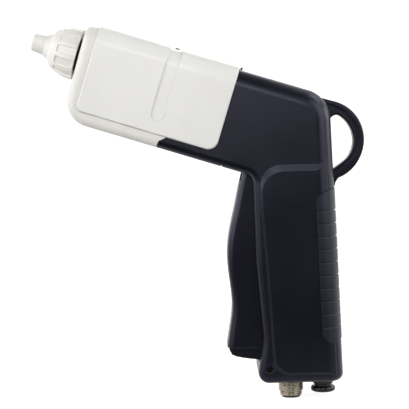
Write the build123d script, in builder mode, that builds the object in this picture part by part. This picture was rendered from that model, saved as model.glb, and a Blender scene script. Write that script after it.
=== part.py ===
from build123d import *
from math import cos, hypot, radians, sin
import os

os.makedirs("parts", exist_ok=True)

# Pistol-grip ionising air gun. Millimetres. The nozzle points to -X and upwards, +Z is up,
# the gun is symmetric about the plane Y = 0, and its left side faces -Y. The origin is the
# middle of the grip. "along" and "up" are distances in the tilted barrel's own directions.

# ------------------------------------------------------------------ driving sizes
BARREL_TILT = 18.0
NOSE_X = -112.5
NOSE_Z = 118.5
BARREL_TOP = 16.7
BARREL_BOTTOM = -34.7
NOSE_TOP_AT = 0.3
NOSE_LOW_AT = 1.2
BODY_HALF = 18.5
WALL = 2.4
BASE_Z = -56.8
REAR_BASE_X = 22.7
REAR_LEAN = 0.0295
SOFT_EDGE = 8.5
SMALL_EDGE = 4.0
REAR_CORNER = 17.0
NOSE_LOW_CORNER = 13.0
BASE_FRONT_CORNER = 5.5

PAD_STAND = 0.9
PAD_REAR_EDGE = 9.5
INSERT_DEPTH = 1.3
INSERT_STAND = 0.35
RIB_PITCH = 6.8
RIB_COUNT = 10
RIB_TOP_Z = 34.0
RIB_GROOVE = 0.3
RIB_GROOVE_WIDTH = 1.0

SEAM = 0.15
HOUSING_END = 52.8
HOUSING_STEP = 3.1
COVER_FRONT = 7.1
COVER_REAR = 82.8
COVER_LOW = -28.1
COVER_STAND = 1.4
COVER_SUNK = 0.8
BAND_AT = 48.6
BAND_HALF = 3.4
BAND_LOW = -21.2
BAND_DEPTH = 0.8
LAMP_R = 1.6

SNOUT_R = 8.4
THREAD_DEPTH = 0.6
THREAD_R = SNOUT_R + THREAD_DEPTH
THREAD_PITCH = 2.0
SNOUT_FRONT = -12.2
SNOUT_SEAT = 5.2
COLLAR_REAR = -1.2
FLUTE_COUNT = 12
FLUTE_HALF = 1.75
TIP_FRONT = -26.2

PIVOT_X = -20.6
PIVOT_Z = 60.0
PIN_R = 2.0
TRIGGER_HALF = 11.2
SLOT_HALF = TRIGGER_HALF + 1.0
TRIGGER_REAR_X = -19.2
ARM_TOP = 2.0

STEM_X = 0.0
STEM_R = 2.0
PLUNGER_X = -12.0
PLUNGER_R = 1.0
VALVE_LOW_Z = 70.0
VALVE_TOP_Z = 87.0

TUBE_R = 3.0
TUBE_BORE = 2.05
BARB_R = 2.0
INLET_X = 12.7
M12_X = -4.6
M12_R = 6.0
HOSE_R = 4.0
RUN = 0.05
GAP = 0.1

SCREW_R = 1.35
SCREW_HOLE_R = 1.5
HEAD_R = 2.7
BOSS_R = 3.0
HEAD_BOSS_R = 4.4

# ------------------------------------------------------------------ directions and planes
TILT_COS = cos(radians(BARREL_TILT))
TILT_SIN = sin(radians(BARREL_TILT))
NOSE = (NOSE_X, 0, NOSE_Z)
SIDE = Plane.XZ
BARREL = Plane(origin=NOSE, x_dir=(TILT_COS, 0, -TILT_SIN), z_dir=(0, -1, 0))
SECTION = Plane(origin=NOSE, x_dir=(0, 1, 0), z_dir=(TILT_COS, 0, -TILT_SIN))
LAMP_PLANE = Plane(
    origin=(NOSE_X + BAND_AT * TILT_COS, 0, NOSE_Z - BAND_AT * TILT_SIN),
    x_dir=(TILT_COS, 0, -TILT_SIN),
    z_dir=(TILT_SIN, 0, TILT_COS),
)
NOZZLE_AXIS = Axis(NOSE, (TILT_COS, 0, -TILT_SIN))


def in_frame(along, up):
    """Frame X and Z of a point given along and above the nozzle axis."""
    return (
        NOSE_X + along * TILT_COS + up * TILT_SIN,
        NOSE_Z - along * TILT_SIN + up * TILT_COS,
    )


def in_barrel(point):
    """Distance along and above the nozzle axis of a point in the frame."""
    dx = point.X - NOSE_X
    dz = point.Z - NOSE_Z
    return dx * TILT_COS - dz * TILT_SIN, dx * TILT_SIN + dz * TILT_COS


def rear_x(z):
    """The back of the gun leans a little: its X at a height."""
    return REAR_BASE_X - (z - BASE_Z) * REAR_LEAN


def top_rear_corner(inside=0.0):
    """Where the barrel's top line would meet the line of the back, both moved inwards."""
    up = BARREL_TOP - inside
    back = rear_x(NOSE_Z + up * TILT_COS) - inside * hypot(1, REAR_LEAN)
    reach = back - NOSE_X - up * TILT_SIN
    return in_frame(reach / (TILT_COS - TILT_SIN * REAR_LEAN), up)


def block(plane, along, up, left):
    """Box between three pairs of limits in a side plane; left is measured towards -Y."""
    with BuildPart(plane) as solid:
        with Locations([(sum(along) / 2, sum(up) / 2, sum(left) / 2)]):
            Box(along[1] - along[0], up[1] - up[0], left[1] - left[0])
    return solid.part


def rod(plane, centre, radius, left):
    """Round bar across the gun, between two distances towards -Y."""
    with BuildPart(plane) as solid:
        with Locations([(centre[0], centre[1], sum(left) / 2)]):
            Cylinder(radius, left[1] - left[0])
    return solid.part


def upright(x, radius, z_from, z_to, y=0.0):
    """Round bar standing along Z."""
    with BuildPart() as solid:
        with Locations([(x, y, (z_from + z_to) / 2)]):
            Cylinder(radius, z_to - z_from)
    return solid.part


def plate(plane, corners, half, radii=()):
    """Plate of straight sides about the mid-plane; radii pairs a corner's number with its radius."""
    with BuildPart() as solid:
        with BuildSketch(plane) as outline:
            with BuildLine():
                Polyline(*corners, close=True)
            make_face()
            for number, radius in radii:
                fillet(outline.vertices().sort_by_distance(corners[number])[0], radius)
        extrude(amount=half, both=True)
    return solid.part


def turned(corners):
    """Ring or rod turned about the nozzle axis from points given as along and radius."""
    with BuildPart() as solid:
        with BuildSketch(BARREL):
            with BuildLine():
                Polyline(*corners, close=True)
            make_face()
        revolve(axis=NOZZLE_AXIS)
    return solid.part


def save(part, name):
    part.label = name
    export_step(part, f"parts/{name}.step")


# ------------------------------------------------------------------ outer form and hollow
SPINE_TOP = (-23.0, 50.0)
SPINE_MID = (-22.6, 8.0)
SPINE_WAIST = (-19.5, -33.0)
SPINE_HEEL = (-22.4, -49.6)


def spine_root():
    """Where the front line of the grip meets the underside of the barrel."""
    run = SPINE_TOP[0] - NOSE_X - BARREL_BOTTOM * TILT_SIN
    return in_frame(run / TILT_COS, BARREL_BOTTOM)


def gun_form(half, inset, soft, small):
    """Whole outside of the gun in side view, pushed out to a half width and rounded."""
    corners = [
        in_frame(NOSE_TOP_AT, BARREL_TOP),
        top_rear_corner(),
        (REAR_BASE_X, BASE_Z),
        (SPINE_HEEL[0], BASE_Z),
        SPINE_HEEL,
        SPINE_WAIST,
        SPINE_MID,
        spine_root(),
        in_frame(NOSE_LOW_AT, BARREL_BOTTOM),
    ]
    rounds = [
        (1, REAR_CORNER),
        (3, BASE_FRONT_CORNER),
        (4, 12.0),
        (5, 25.0),
        (6, 60.0),
        (7, 5.0),
        (8, NOSE_LOW_CORNER),
    ]
    with BuildPart() as form:
        with BuildSketch(SIDE) as outline:
            with BuildLine():
                Polyline(*corners, close=True)
            make_face()
            for number, radius in rounds:
                fillet(outline.vertices().sort_by_distance(corners[number])[0], radius)
            if inset:
                offset(amount=-inset, kind=Kind.INTERSECTION)
        extrude(amount=half, both=True)
        upper = []
        for edge in form.edges():
            middle = edge @ 0.5
            along, up = in_barrel(middle)
            flat_side = abs(abs(middle.Y) - half) < 0.01
            if flat_side and along > 5 and (up > 5 or middle.X > 12) and middle.Z > BASE_Z + 9:
                upper.append(edge)
        fillet(upper, soft)
        lower = []
        for edge in form.edges():
            middle = edge @ 0.5
            along, up = in_barrel(middle)
            on_side = abs(middle.Y) > 1
            at_front = along < 3 + inset
            at_base = middle.Z < BASE_Z + inset + 6
            under = middle.X < -5 and up < BARREL_BOTTOM + inset + 1
            sharp_top = at_front and up > BARREL_TOP - inset - 0.5
            sharp_back = middle.Z < BASE_Z + inset + 0.01 and middle.X > REAR_BASE_X - inset - 1
            if (on_side and (at_front or at_base or under)) or sharp_top or sharp_back:
                lower.append(edge)
        fillet(lower, small)
    return form.part


FORM = gun_form(BODY_HALF, 0, SOFT_EDGE, SMALL_EDGE)
HOLLOW = gun_form(BODY_HALF - WALL, WALL, SOFT_EDGE - WALL, SMALL_EDGE - WALL)

# ------------------------------------------------------------------ raised grip pads
PAD_OUTER = [
    (-19.7, 58.4),
    (32.0, 58.4),
    (32.0, -52.3),
    (-14.3, -52.3),
    (-17.2, 4.0),
    (-19.4, 36.0),
]
PAD_INNER = [
    (-18.5, 55.3),
    (32.0, 55.3),
    (32.0, -51.0),
    (-12.9, -51.0),
    (-15.9, 4.0),
    (-18.2, 36.0),
]
PAD_TOP_CORNER = 11.0
PAD_LOW_CORNER = 9.0


def pad_face(corners, away):
    """Outline of the pad at a distance from the mid-plane."""
    with BuildSketch(SIDE.offset(away)) as outline:
        with BuildLine():
            Polyline(*corners, close=True)
        make_face()
        fillet(outline.vertices().sort_by_distance(corners[0])[0], PAD_TOP_CORNER)
        fillet(outline.vertices().sort_by_distance(corners[3])[0], PAD_LOW_CORNER)
    return outline.sketch


def pads():
    """Both raised pads, fading out where the back of the grip rounds away."""
    sunk = BODY_HALF - 1.0
    proud = BODY_HALF + PAD_STAND
    rise = (proud - sunk) / PAD_STAND
    low_face = pad_face(
        [(a + (b - a) * (1 - rise), c + (d - c) * (1 - rise))
         for (a, c), (b, d) in zip(PAD_OUTER, PAD_INNER)],
        sunk,
    )
    high_face = pad_face(PAD_INNER, proud)
    with BuildPart() as both:
        loft([low_face.face(), high_face.face()], ruled=True)
        mirror(about=Plane.XZ)
        add(PROUD_FORM, mode=Mode.INTERSECT)
    return both.part


PROUD_FORM = gun_form(BODY_HALF + PAD_STAND, 0, PAD_REAR_EDGE, SMALL_EDGE)
PADS = pads()
with BuildPart() as outside_form:
    add(FORM)
    add(PADS)
OUTSIDE = outside_form.part


# ------------------------------------------------------------------ ribbed grip insert
INSERT_OUTLINE = [
    (9.2, 41.5),
    (15.0, 44.0),
    (32.0, 50.0),
    (32.0, -32.0),
    (22.5, -33.5),
    (16.0, -36.6),
    (11.4, -32.0),
]


def grip_core(depth):
    """The grip less a skin of a given depth on its sides and back."""
    return gun_form(BODY_HALF + PAD_STAND - depth, depth, PAD_REAR_EDGE - depth, SMALL_EDGE - depth)


def insert_region(grow):
    """Side view of the insert, grown for the recess it drops into."""
    with BuildPart() as region:
        with BuildSketch(SIDE) as outline:
            with BuildLine():
                Polyline(*INSERT_OUTLINE, close=True)
            make_face()
            for number, radius in ((0, 5.5), (4, 4.0), (5, 5.0), (6, 3.0)):
                corner = INSERT_OUTLINE[number]
                fillet(outline.vertices().sort_by_distance(corner)[0], radius)
            if grow:
                offset(amount=grow)
        extrude(amount=BODY_HALF + 4, both=True)
    return region.part


with BuildPart() as insert_recess:
    add(insert_region(GAP))
    add(grip_core(INSERT_DEPTH + GAP), mode=Mode.SUBTRACT)

with BuildPart() as grip_insert:
    add(grip_core(-INSERT_STAND))
    add(insert_region(0), mode=Mode.INTERSECT)
    add(grip_core(INSERT_DEPTH), mode=Mode.SUBTRACT)
GROOVE_CORE = grip_core(RIB_GROOVE)
with BuildPart() as rib_grooves:
    for number in range(RIB_COUNT):
        z = RIB_TOP_Z - number * RIB_PITCH
        low = (z - RIB_GROOVE_WIDTH / 2, z + RIB_GROOVE_WIDTH / 2)
        add(block(SIDE, (0, 30), low, (-24, 24)))
    add(GROOVE_CORE, mode=Mode.SUBTRACT)


# ------------------------------------------------------------------ top cover, band and lamp
def saddle(stand, from_along, to_along):
    """Bar with the barrel's section, its top and sides standing off the body by a distance."""
    half = BODY_HALF + stand
    top = BARREL_TOP + stand
    corners = [(-half, -60), (half, -60), (half, top), (-half, top)]
    with BuildPart() as bar:
        with BuildSketch(SECTION.offset(from_along)) as outline:
            with BuildLine():
                Polyline(*corners, close=True)
            make_face()
            fillet(outline.vertices().group_by(Axis.Y)[-1], SOFT_EDGE + stand)
        extrude(amount=to_along - from_along)
    return bar.part


def cover_region(grow):
    """Side view of the cover; it is open above so that it wraps over the top."""
    corners = [
        (COVER_FRONT, COVER_LOW),
        (COVER_REAR, COVER_LOW),
        (COVER_REAR, BARREL_TOP + 12),
        (COVER_FRONT, BARREL_TOP + 12),
    ]
    with BuildPart() as region:
        with BuildSketch(BARREL) as outline:
            with BuildLine():
                Polyline(*corners, close=True)
            make_face()
            fillet(outline.vertices().sort_by_distance(corners[0])[0], 3.8)
            fillet(outline.vertices().sort_by_distance(corners[1])[0], 5.4)
            if grow:
                offset(amount=grow)
        extrude(amount=BODY_HALF + 6, both=True)
    return region.part


with BuildPart() as cover_recess:
    add(cover_region(GAP))
    add(saddle(-COVER_SUNK - GAP, 0, 95), mode=Mode.SUBTRACT)

with BuildPart() as band_cut:
    with BuildSketch(BARREL):
        with Locations([(BAND_AT, (BARREL_TOP + 10 + BAND_LOW) / 2)]):
            SlotOverall(BARREL_TOP + 10 - BAND_LOW, BAND_HALF * 2, rotation=90)
    extrude(amount=BODY_HALF + 6, both=True)
    add(saddle(COVER_STAND - BAND_DEPTH, 30, 70), mode=Mode.SUBTRACT)

COVER_EDGE = 0.9
with BuildPart() as top_cover:
    add(saddle(COVER_STAND, 0, 95))
    add(cover_region(0), mode=Mode.INTERSECT)
    add(saddle(-COVER_SUNK, 0, 95), mode=Mode.SUBTRACT)
    rim = []
    for edge in top_cover.edges():
        middle = edge @ 0.5
        along, up = in_barrel(middle)
        flat = BODY_HALF - SOFT_EDGE
        bend = hypot(abs(middle.Y) - flat, up - BARREL_TOP + SOFT_EDGE)
        on_bend = abs(middle.Y) > flat and up > BARREL_TOP - SOFT_EDGE
        outer = abs(middle.Y) > BODY_HALF + COVER_STAND - 0.01
        outer = outer or up > BARREL_TOP + COVER_STAND - 0.01
        outer = outer or (on_bend and bend > SOFT_EDGE + COVER_STAND - 0.01)
        if outer and not (edge.length > 60 and up > 0):
            rim.append(edge)
    fillet(rim, COVER_EDGE)
    add(band_cut.part, mode=Mode.SUBTRACT)
    with BuildPart(LAMP_PLANE, mode=Mode.PRIVATE) as lamp_hole:
        with Locations([(0, 0, BARREL_TOP)]):
            Cylinder(LAMP_R + GAP, 12)
    add(lamp_hole.part, mode=Mode.SUBTRACT)
save(top_cover.part, "top_cover")

LAMP_SEAT = BARREL_TOP - COVER_SUNK - GAP
LAMP_TOP = BARREL_TOP + COVER_STAND + 0.5
LAMP_FOOT = 12.4
LAMP_SHAFT_R = 1.2
with BuildPart(LAMP_PLANE) as status_lamp:
    with Locations([(0, 0, LAMP_SEAT)]):
        Cylinder(LAMP_R, LAMP_TOP - LAMP_SEAT, align=(Align.CENTER, Align.CENTER, Align.MIN))
    fillet(status_lamp.edges().sort_by(Axis((0, 0, 0), tuple(LAMP_PLANE.z_dir)))[-1], 1.0)
    with Locations([(0, 0, LAMP_FOOT)]):
        Cylinder(LAMP_SHAFT_R, LAMP_SEAT - LAMP_FOOT, align=(Align.CENTER, Align.CENTER, Align.MIN))
save(status_lamp.part, "status_lamp")


# ------------------------------------------------------------------ hanging loop
LOOP_HALF = 4.5
LOOP_OUT_TOP = (11.0, 93.9)
LOOP_GROOVE = 1.5
PLATE_T = 1.0
LOOP_FOOT_Z = (44.5, 58.0)


def loop_face(grow):
    """Side view of the loop's band, its two roots running in through the back."""
    with BuildSketch(SIDE) as band:
        with BuildLine():
            outer_a = Line(LOOP_OUT_TOP, (21.8, 90.8))
            outer_b = TangentArc(outer_a @ 1, (36.85, 70.2), tangent=outer_a % 1)
            outer_c = TangentArc(outer_b @ 1, (32.2, 57.1), tangent=outer_b % 1)
            outer_d = TangentArc(outer_c @ 1, (22.6, 50.1), tangent=outer_c % 1)
            Polyline(
                outer_d @ 1,
                (21.2, 48.2),
                (20.6, 45.9),
                (rear_x(46) - WALL - PLATE_T / 2, 45.9),
                (rear_x(56) - WALL - PLATE_T / 2, 54.6),
                (19.4, 54.6),
            )
            inner_a = Line((19.4, 54.6), (25.9, 59.4))
            inner_b = TangentArc(inner_a @ 1, (31.15, 70.0), tangent=inner_a % 1)
            inner_c = TangentArc(inner_b @ 1, (24.4, 82.9), tangent=inner_b % 1)
            inner_d = TangentArc(inner_c @ 1, (19.5, 82.1), tangent=inner_c % 1)
            Polyline(inner_d @ 1, (15.9, 82.0), (10.9, 91.5), LOOP_OUT_TOP)
        make_face()
        if grow:
            offset(amount=grow)
    return band.sketch


def loop_groove_face():
    """Shallow channel along the band, a little nearer its inner edge."""
    with BuildSketch(SIDE.offset(LOOP_HALF - LOOP_GROOVE)) as channel:
        with BuildLine():
            one = ThreePointArc((17.5, 88.7), (27.1, 84.0), (33.3, 71.5))
            two = ThreePointArc(one @ 1, (32.5, 66.0), (29.4, 60.9))
            Line(two @ 1, (19.6, 52.2))
        trace(line_width=2.1)
    return channel.sketch


LOOP_FOOT = (
    (rear_x(LOOP_FOOT_Z[1]) - WALL - PLATE_T, rear_x(LOOP_FOOT_Z[1]) - WALL),
    LOOP_FOOT_Z,
    (-LOOP_HALF, LOOP_HALF),
)
BACK_CENTRE_X, BACK_CENTRE_Z = top_rear_corner(REAR_CORNER)


def loop_head(grow):
    """Curved backing plate inside the rounded top rear corner."""
    with BuildPart() as head:
        with BuildSketch(SIDE):
            with Locations([(BACK_CENTRE_X, BACK_CENTRE_Z)]):
                Circle(REAR_CORNER - WALL + grow)
                Circle(REAR_CORNER - WALL - PLATE_T - grow, mode=Mode.SUBTRACT)
            with BuildLine():
                Polyline(
                    (BACK_CENTRE_X, BACK_CENTRE_Z),
                    (BACK_CENTRE_X + 40, BACK_CENTRE_Z + 21),
                    (BACK_CENTRE_X + 22, BACK_CENTRE_Z + 40),
                    close=True,
                )
            make_face(mode=Mode.INTERSECT)
        extrude(amount=LOOP_HALF + grow, both=True)
    return head.part


with BuildPart() as hanging_loop:
    extrude(loop_face(0), amount=LOOP_HALF, both=True)
    rounded = []
    for edge in hanging_loop.edges():
        middle = edge @ 0.5
        if abs(middle.Y) > 1 and middle.X > 20.5 and edge.length > 6:
            rounded.append(edge)
    fillet(rounded, 1.0)
    extrude(loop_groove_face(), amount=5, mode=Mode.SUBTRACT)
    extrude(loop_groove_face().mirror(Plane.XZ), amount=5, dir=(0, 1, 0), mode=Mode.SUBTRACT)
    add(block(SIDE, *LOOP_FOOT))
    add(loop_head(0))
save(hanging_loop.part, "hanging_loop")

with BuildPart() as loop_pocket:
    extrude(loop_face(GAP), amount=LOOP_HALF + GAP, both=True)

with BuildPart() as ribbed_insert:
    add(grip_insert.part)
    add(rib_grooves.part, mode=Mode.SUBTRACT)
    add(loop_pocket.part, mode=Mode.SUBTRACT)
save(ribbed_insert.part, "grip_insert")


# ------------------------------------------------------------------ snout, seal and electrode
SNOUT_BORE = 4.2
FLANGE_R = 11.8
HV_LEAD_AT = 11.0
HV_LEAD_R = 1.1
NEEDLE_R = 0.75
HOLDER_ENDS = (-7.0, 13.4)
TUBE_START = 17.5
BARB_BORE = 1.2
ring_places = [SNOUT_FRONT + 1.2 + THREAD_PITCH * number for number in range(5)]

snout_body = turned([
    (SNOUT_FRONT, SNOUT_BORE),
    (SNOUT_FRONT, SNOUT_R),
    (-0.8, SNOUT_R),
    (-0.8, THREAD_R),
    (SNOUT_SEAT, THREAD_R),
    (SNOUT_SEAT, FLANGE_R),
    (SNOUT_SEAT + 2, FLANGE_R),
    (SNOUT_SEAT + 2, 7.0),
    (15.0, 7.0),
    (17.0, 3.2),
    (17.0, BARB_R),
    (26.0, BARB_R),
    (26.0, BARB_BORE),
    (14.0, BARB_BORE),
    (14.0, SNOUT_BORE),
])
thread_rings = [
    turned([
        (place - 0.55, SNOUT_R - 0.1),
        (place - 0.25, THREAD_R),
        (place + 0.25, THREAD_R),
        (place + 0.55, SNOUT_R - 0.1),
    ])
    for place in ring_places
]
lead_hole = block(BARREL, (HV_LEAD_AT - 1.4, HV_LEAD_AT + 1.4), (-9, -NEEDLE_R), (-1.4, 1.4))
with BuildPart() as snout:
    add(snout_body)
    add(thread_rings)
    add(lead_hole, mode=Mode.SUBTRACT)
save(snout.part, "snout")

holder_body = turned([
    (HOLDER_ENDS[0], NEEDLE_R + RUN),
    (HOLDER_ENDS[0], SNOUT_BORE - RUN),
    (HOLDER_ENDS[1], SNOUT_BORE - RUN),
    (HOLDER_ENDS[1], NEEDLE_R + RUN),
])
with BuildPart() as electrode_holder:
    add(holder_body)
    with BuildSketch(SECTION.offset(HOLDER_ENDS[0])):
        with PolarLocations(2.6, 6):
            Circle(0.9)
    extrude(amount=HOLDER_ENDS[1] - HOLDER_ENDS[0], mode=Mode.SUBTRACT)
    add(lead_hole, mode=Mode.SUBTRACT)
save(electrode_holder.part, "electrode_holder")

needle = turned([(-11.0, 0), (-8.5, NEEDLE_R), (12.6, NEEDLE_R), (12.6, 0)])
save(needle, "electrode_needle")

SEAL_ENDS = (-13.1, SNOUT_FRONT)
seal = turned([
    (SEAL_ENDS[0], 4.8),
    (SEAL_ENDS[0], 7.0),
    (SEAL_ENDS[1], 7.0),
    (SEAL_ENDS[1], 4.8),
])
save(seal, "nozzle_seal")


# ------------------------------------------------------------------ nozzle tip and collar
TIP_FLANGE = (-14.5, SEAL_ENDS[0])
TIP_R = 5.4
COLLAR_BORE = THREAD_R + 0.2
tip_body = turned([
    (TIP_FRONT, 2.6),
    (TIP_FRONT, 4.9),
    (-19.3, TIP_R),
    (TIP_FLANGE[0], TIP_R),
    (TIP_FLANGE[0], 7.5),
    (TIP_FLANGE[1], 7.5),
    (TIP_FLANGE[1], 4.2),
    (-19.0, 2.6),
])
with BuildPart() as nozzle_tip:
    add(tip_body)
    front_edges = nozzle_tip.edges().sort_by(NOZZLE_AXIS)[:2]
    fillet(front_edges.sort_by(SortBy.LENGTH)[-1], 1.1)
save(nozzle_tip.part, "nozzle_tip")

collar_body = turned([
    (-19.1, TIP_R + GAP),
    (-19.1, 5.9),
    (-16.3, 7.1),
    (-15.2, 9.2),
    (-14.2, 10.3),
    (-8.2, COLLAR_BORE + 3.9),
    (-6.3, COLLAR_BORE + 4.2),
    (COLLAR_REAR, COLLAR_BORE + 4.6),
    (COLLAR_REAR, COLLAR_BORE),
    (-12.4, COLLAR_BORE),
    (-12.4, 7.7),
    (TIP_FLANGE[0] - GAP, 7.7),
    (TIP_FLANGE[0] - GAP, TIP_R + GAP),
])
with BuildPart() as flute:
    with BuildSketch(BARREL):
        with BuildLine():
            Polyline(
                (-12.0, COLLAR_BORE + 1.8),
                (-8.2, COLLAR_BORE + 3.1),
                (COLLAR_REAR + 1, COLLAR_BORE + 3.7),
                (COLLAR_REAR + 1, COLLAR_BORE + 7),
                (-12.0, COLLAR_BORE + 7),
                close=True,
            )
        make_face()
    extrude(amount=FLUTE_HALF, both=True)
flutes = [flute.part.rotate(NOZZLE_AXIS, 15 + number * 360 / FLUTE_COUNT)
          for number in range(FLUTE_COUNT)]
with BuildPart() as nozzle_collar:
    add(collar_body)
    add(flutes, mode=Mode.SUBTRACT)
save(nozzle_collar.part, "nozzle_collar")


# ------------------------------------------------------------------ trigger
FRONT_LINE = [
    (-27.5, 58.8),
    (-28.8, 54.6),
    (-32.5, 38.1),
    (-36.5, 20.0),
    (-37.35, 9.0),
    (-36.05, -6.5),
    (-35.4, -16.5),
    (-36.5, -26.0),
    (-38.5, -38.3),
]
SHELL_LOW_Z = FRONT_LINE[-1][1]
CHEEK = 2.0
EYE_R = 5.5
LIP = [
    (-37.6, SHELL_LOW_Z - GAP),
    (-37.3, -39.7),
    (-36.2, -41.8),
    (-34.0, -42.9),
    (-30.9, -43.6),
    (-26.6, -44.3),
    (TRIGGER_REAR_X, -45.3),
    (TRIGGER_REAR_X, SHELL_LOW_Z - GAP),
]


def trigger_slab(back_by, half, low_z, rear_x_at, top_z):
    """The trigger's side view behind its front line moved back by a distance."""
    line = [(x + back_by, z) for x, z in FRONT_LINE]
    with BuildPart() as slab:
        with BuildSketch(SIDE):
            with BuildLine():
                front = Spline(*line)
                Polyline(front @ 1, (rear_x_at, low_z), (rear_x_at, 48), (-16, top_z), front @ 0)
            make_face()
        extrude(amount=half, both=True)
    return slab.part


def eye(radius, half):
    return rod(SIDE, (PIVOT_X, PIVOT_Z), radius, (-half, half))


shell_slab = trigger_slab(0, TRIGGER_HALF, SHELL_LOW_Z, TRIGGER_REAR_X, 58.8)
shell_hollow = trigger_slab(CHEEK + 0.4, TRIGGER_HALF - CHEEK, SHELL_LOW_Z, 0, 58.8)
eye_hollow = block(SIDE, (-40, 0), (49, 70), (-TRIGGER_HALF + CHEEK, TRIGGER_HALF - CHEEK))
pin_hole = eye(PIN_R + RUN, 20)
with BuildPart() as trigger_shell:
    add(shell_slab)
    front_edges = []
    for edge in trigger_shell.edges():
        middle = edge @ 0.5
        if abs(middle.Y) > 1 and middle.X < -30 and edge.length > 60:
            front_edges.append(edge)
    fillet(front_edges, 3.6)
    add(eye(EYE_R, TRIGGER_HALF))
    add(shell_hollow, mode=Mode.SUBTRACT)
    add(eye_hollow, mode=Mode.SUBTRACT)
    add(pin_hole, mode=Mode.SUBTRACT)
save(trigger_shell.part, "trigger_shell")

LEVER_HALF = TRIGGER_HALF - CHEEK - GAP
lever_slab = trigger_slab(CHEEK + 0.6, LEVER_HALF, SHELL_LOW_Z, TRIGGER_REAR_X, 58.8)
lever_pocket = trigger_slab(CHEEK * 2 + 0.6, LEVER_HALF - CHEEK, SHELL_LOW_Z, 0, 46)
pocket_limits = block(SIDE, (-40, 0), (SHELL_LOW_Z + 2, 44), (-12, 12))
lip_plate = plate(SIDE, LIP, TRIGGER_HALF - 0.4)
neck_plate = block(SIDE, (-35.0, TRIGGER_REAR_X), (SHELL_LOW_Z - 1, SHELL_LOW_Z + 1), (-9, 9))
ARM_END = 5.0
arm_bar = block(
    SIDE,
    (PIVOT_X, ARM_END),
    (PIVOT_Z - 3, PIVOT_Z + ARM_TOP),
    (-3.8, 3.8),
)
with BuildPart() as pocket_tool:
    add(lever_pocket)
    add(pocket_limits, mode=Mode.INTERSECT)
with BuildPart() as trigger_lever:
    add(lever_slab)
    add(pocket_tool.part, mode=Mode.SUBTRACT)
    add(eye(EYE_R - 0.3, LEVER_HALF))
    add(arm_bar)
    add(lip_plate)
    add(neck_plate)
    add(pin_hole, mode=Mode.SUBTRACT)
save(trigger_lever.part, "trigger_lever")

PIN_HALF = TRIGGER_HALF + 3.0
with BuildPart() as pivot_pin:
    add(eye(PIN_R, PIN_HALF))
    chamfer(pivot_pin.edges().filter_by(GeomType.CIRCLE), 0.3)
save(pivot_pin.part, "pivot_pin")


# ------------------------------------------------------------------ air valve and micro-switch
VALVE_X = (-6.0, 14.5)
VALVE_HALF = 9.0
STEM_FOOT_Z = PIVOT_Z + ARM_TOP + GAP
STEM_TOP_Z = 80.5
SPRING_WIRE_R = 0.35
SPRING_R = 3.1
SPRING_FOOT_Z = 65.0
OUTLET_END = 104.0

VALVE_CUT = 3.0
valve_box = plate(SIDE, [
    (VALVE_X[0], VALVE_LOW_Z),
    (VALVE_X[1], VALVE_LOW_Z),
    (VALVE_X[1], VALVE_TOP_Z - VALVE_CUT),
    (VALVE_X[1] - VALVE_CUT, VALVE_TOP_Z),
    (VALVE_X[0], VALVE_TOP_Z),
], VALVE_HALF)
stem_bore = upright(STEM_X, STEM_R + RUN, VALVE_LOW_Z - 1, 84.0)
inlet_barb = upright(INLET_X, BARB_R, 62.0, VALVE_LOW_Z + 1)
inlet_bore = upright(INLET_X, BARB_BORE, 61.0, 78.0)
outlet_barb = turned([(OUTLET_END, 0), (OUTLET_END, BARB_R), (114.0, BARB_R), (114.0, 0)])
outlet_bore = turned([(OUTLET_END - 1, 0), (OUTLET_END - 1, BARB_BORE), (117.0, BARB_BORE),
                      (117.0, 0)])
with BuildPart() as valve_block:
    add(valve_box)
    fillet(valve_block.edges().filter_by(Axis.Z), 1.2)
    add(inlet_barb)
    add(outlet_barb)
    add([stem_bore, inlet_bore, outlet_bore], mode=Mode.SUBTRACT)
save(valve_block.part, "valve_block")

with BuildPart() as valve_stem:
    add(upright(STEM_X, STEM_R, STEM_FOOT_Z, STEM_TOP_Z))
    fillet(valve_stem.edges().sort_by(Axis.Z)[0], 1.4)
    add(upright(STEM_X, SPRING_R + 1.0, SPRING_FOOT_Z - 1, SPRING_FOOT_Z))
save(valve_stem.part, "valve_stem")

spring_height = VALVE_LOW_Z - SPRING_FOOT_Z - 2 * (SPRING_WIRE_R + RUN)
with BuildPart() as return_spring:
    with BuildLine() as coil:
        Helix(
            pitch=spring_height / 3,
            height=spring_height,
            radius=SPRING_R,
            center=(STEM_X, 0, SPRING_FOOT_Z + SPRING_WIRE_R + RUN),
        )
    with BuildSketch(Plane(origin=coil.line @ 0, z_dir=coil.line % 0)):
        Circle(SPRING_WIRE_R)
    sweep()
save(return_spring.part, "return_spring")

SWITCH_X = (-17.4, -6.6)
SWITCH_Z = (66.2, 72.2)
SWITCH_HALF = 3.2
PLUNGER_TOP_Z = 69.0
switch_box = block(SIDE, SWITCH_X, SWITCH_Z, (-SWITCH_HALF, SWITCH_HALF))
tabs = [
    block(SIDE, (x - 0.3, x + 0.3), (SWITCH_Z[1] - 0.5, SWITCH_Z[1] + 3), (-1.1, 1.1))
    for x in (-15.6, -12.0, -8.4)
]
plunger_bore = upright(PLUNGER_X, PLUNGER_R + RUN, SWITCH_Z[0] - 1, PLUNGER_TOP_Z + 1.5)
with BuildPart() as micro_switch:
    add(switch_box)
    chamfer(micro_switch.edges().filter_by(Axis.Y), 0.4)
    add(tabs)
    add(plunger_bore, mode=Mode.SUBTRACT)
save(micro_switch.part, "micro_switch")

with BuildPart() as switch_plunger:
    add(upright(PLUNGER_X, PLUNGER_R, STEM_FOOT_Z, PLUNGER_TOP_Z))
    fillet(switch_plunger.edges().sort_by(Axis.Z)[0], 0.7)
save(switch_plunger.part, "switch_plunger")


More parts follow.
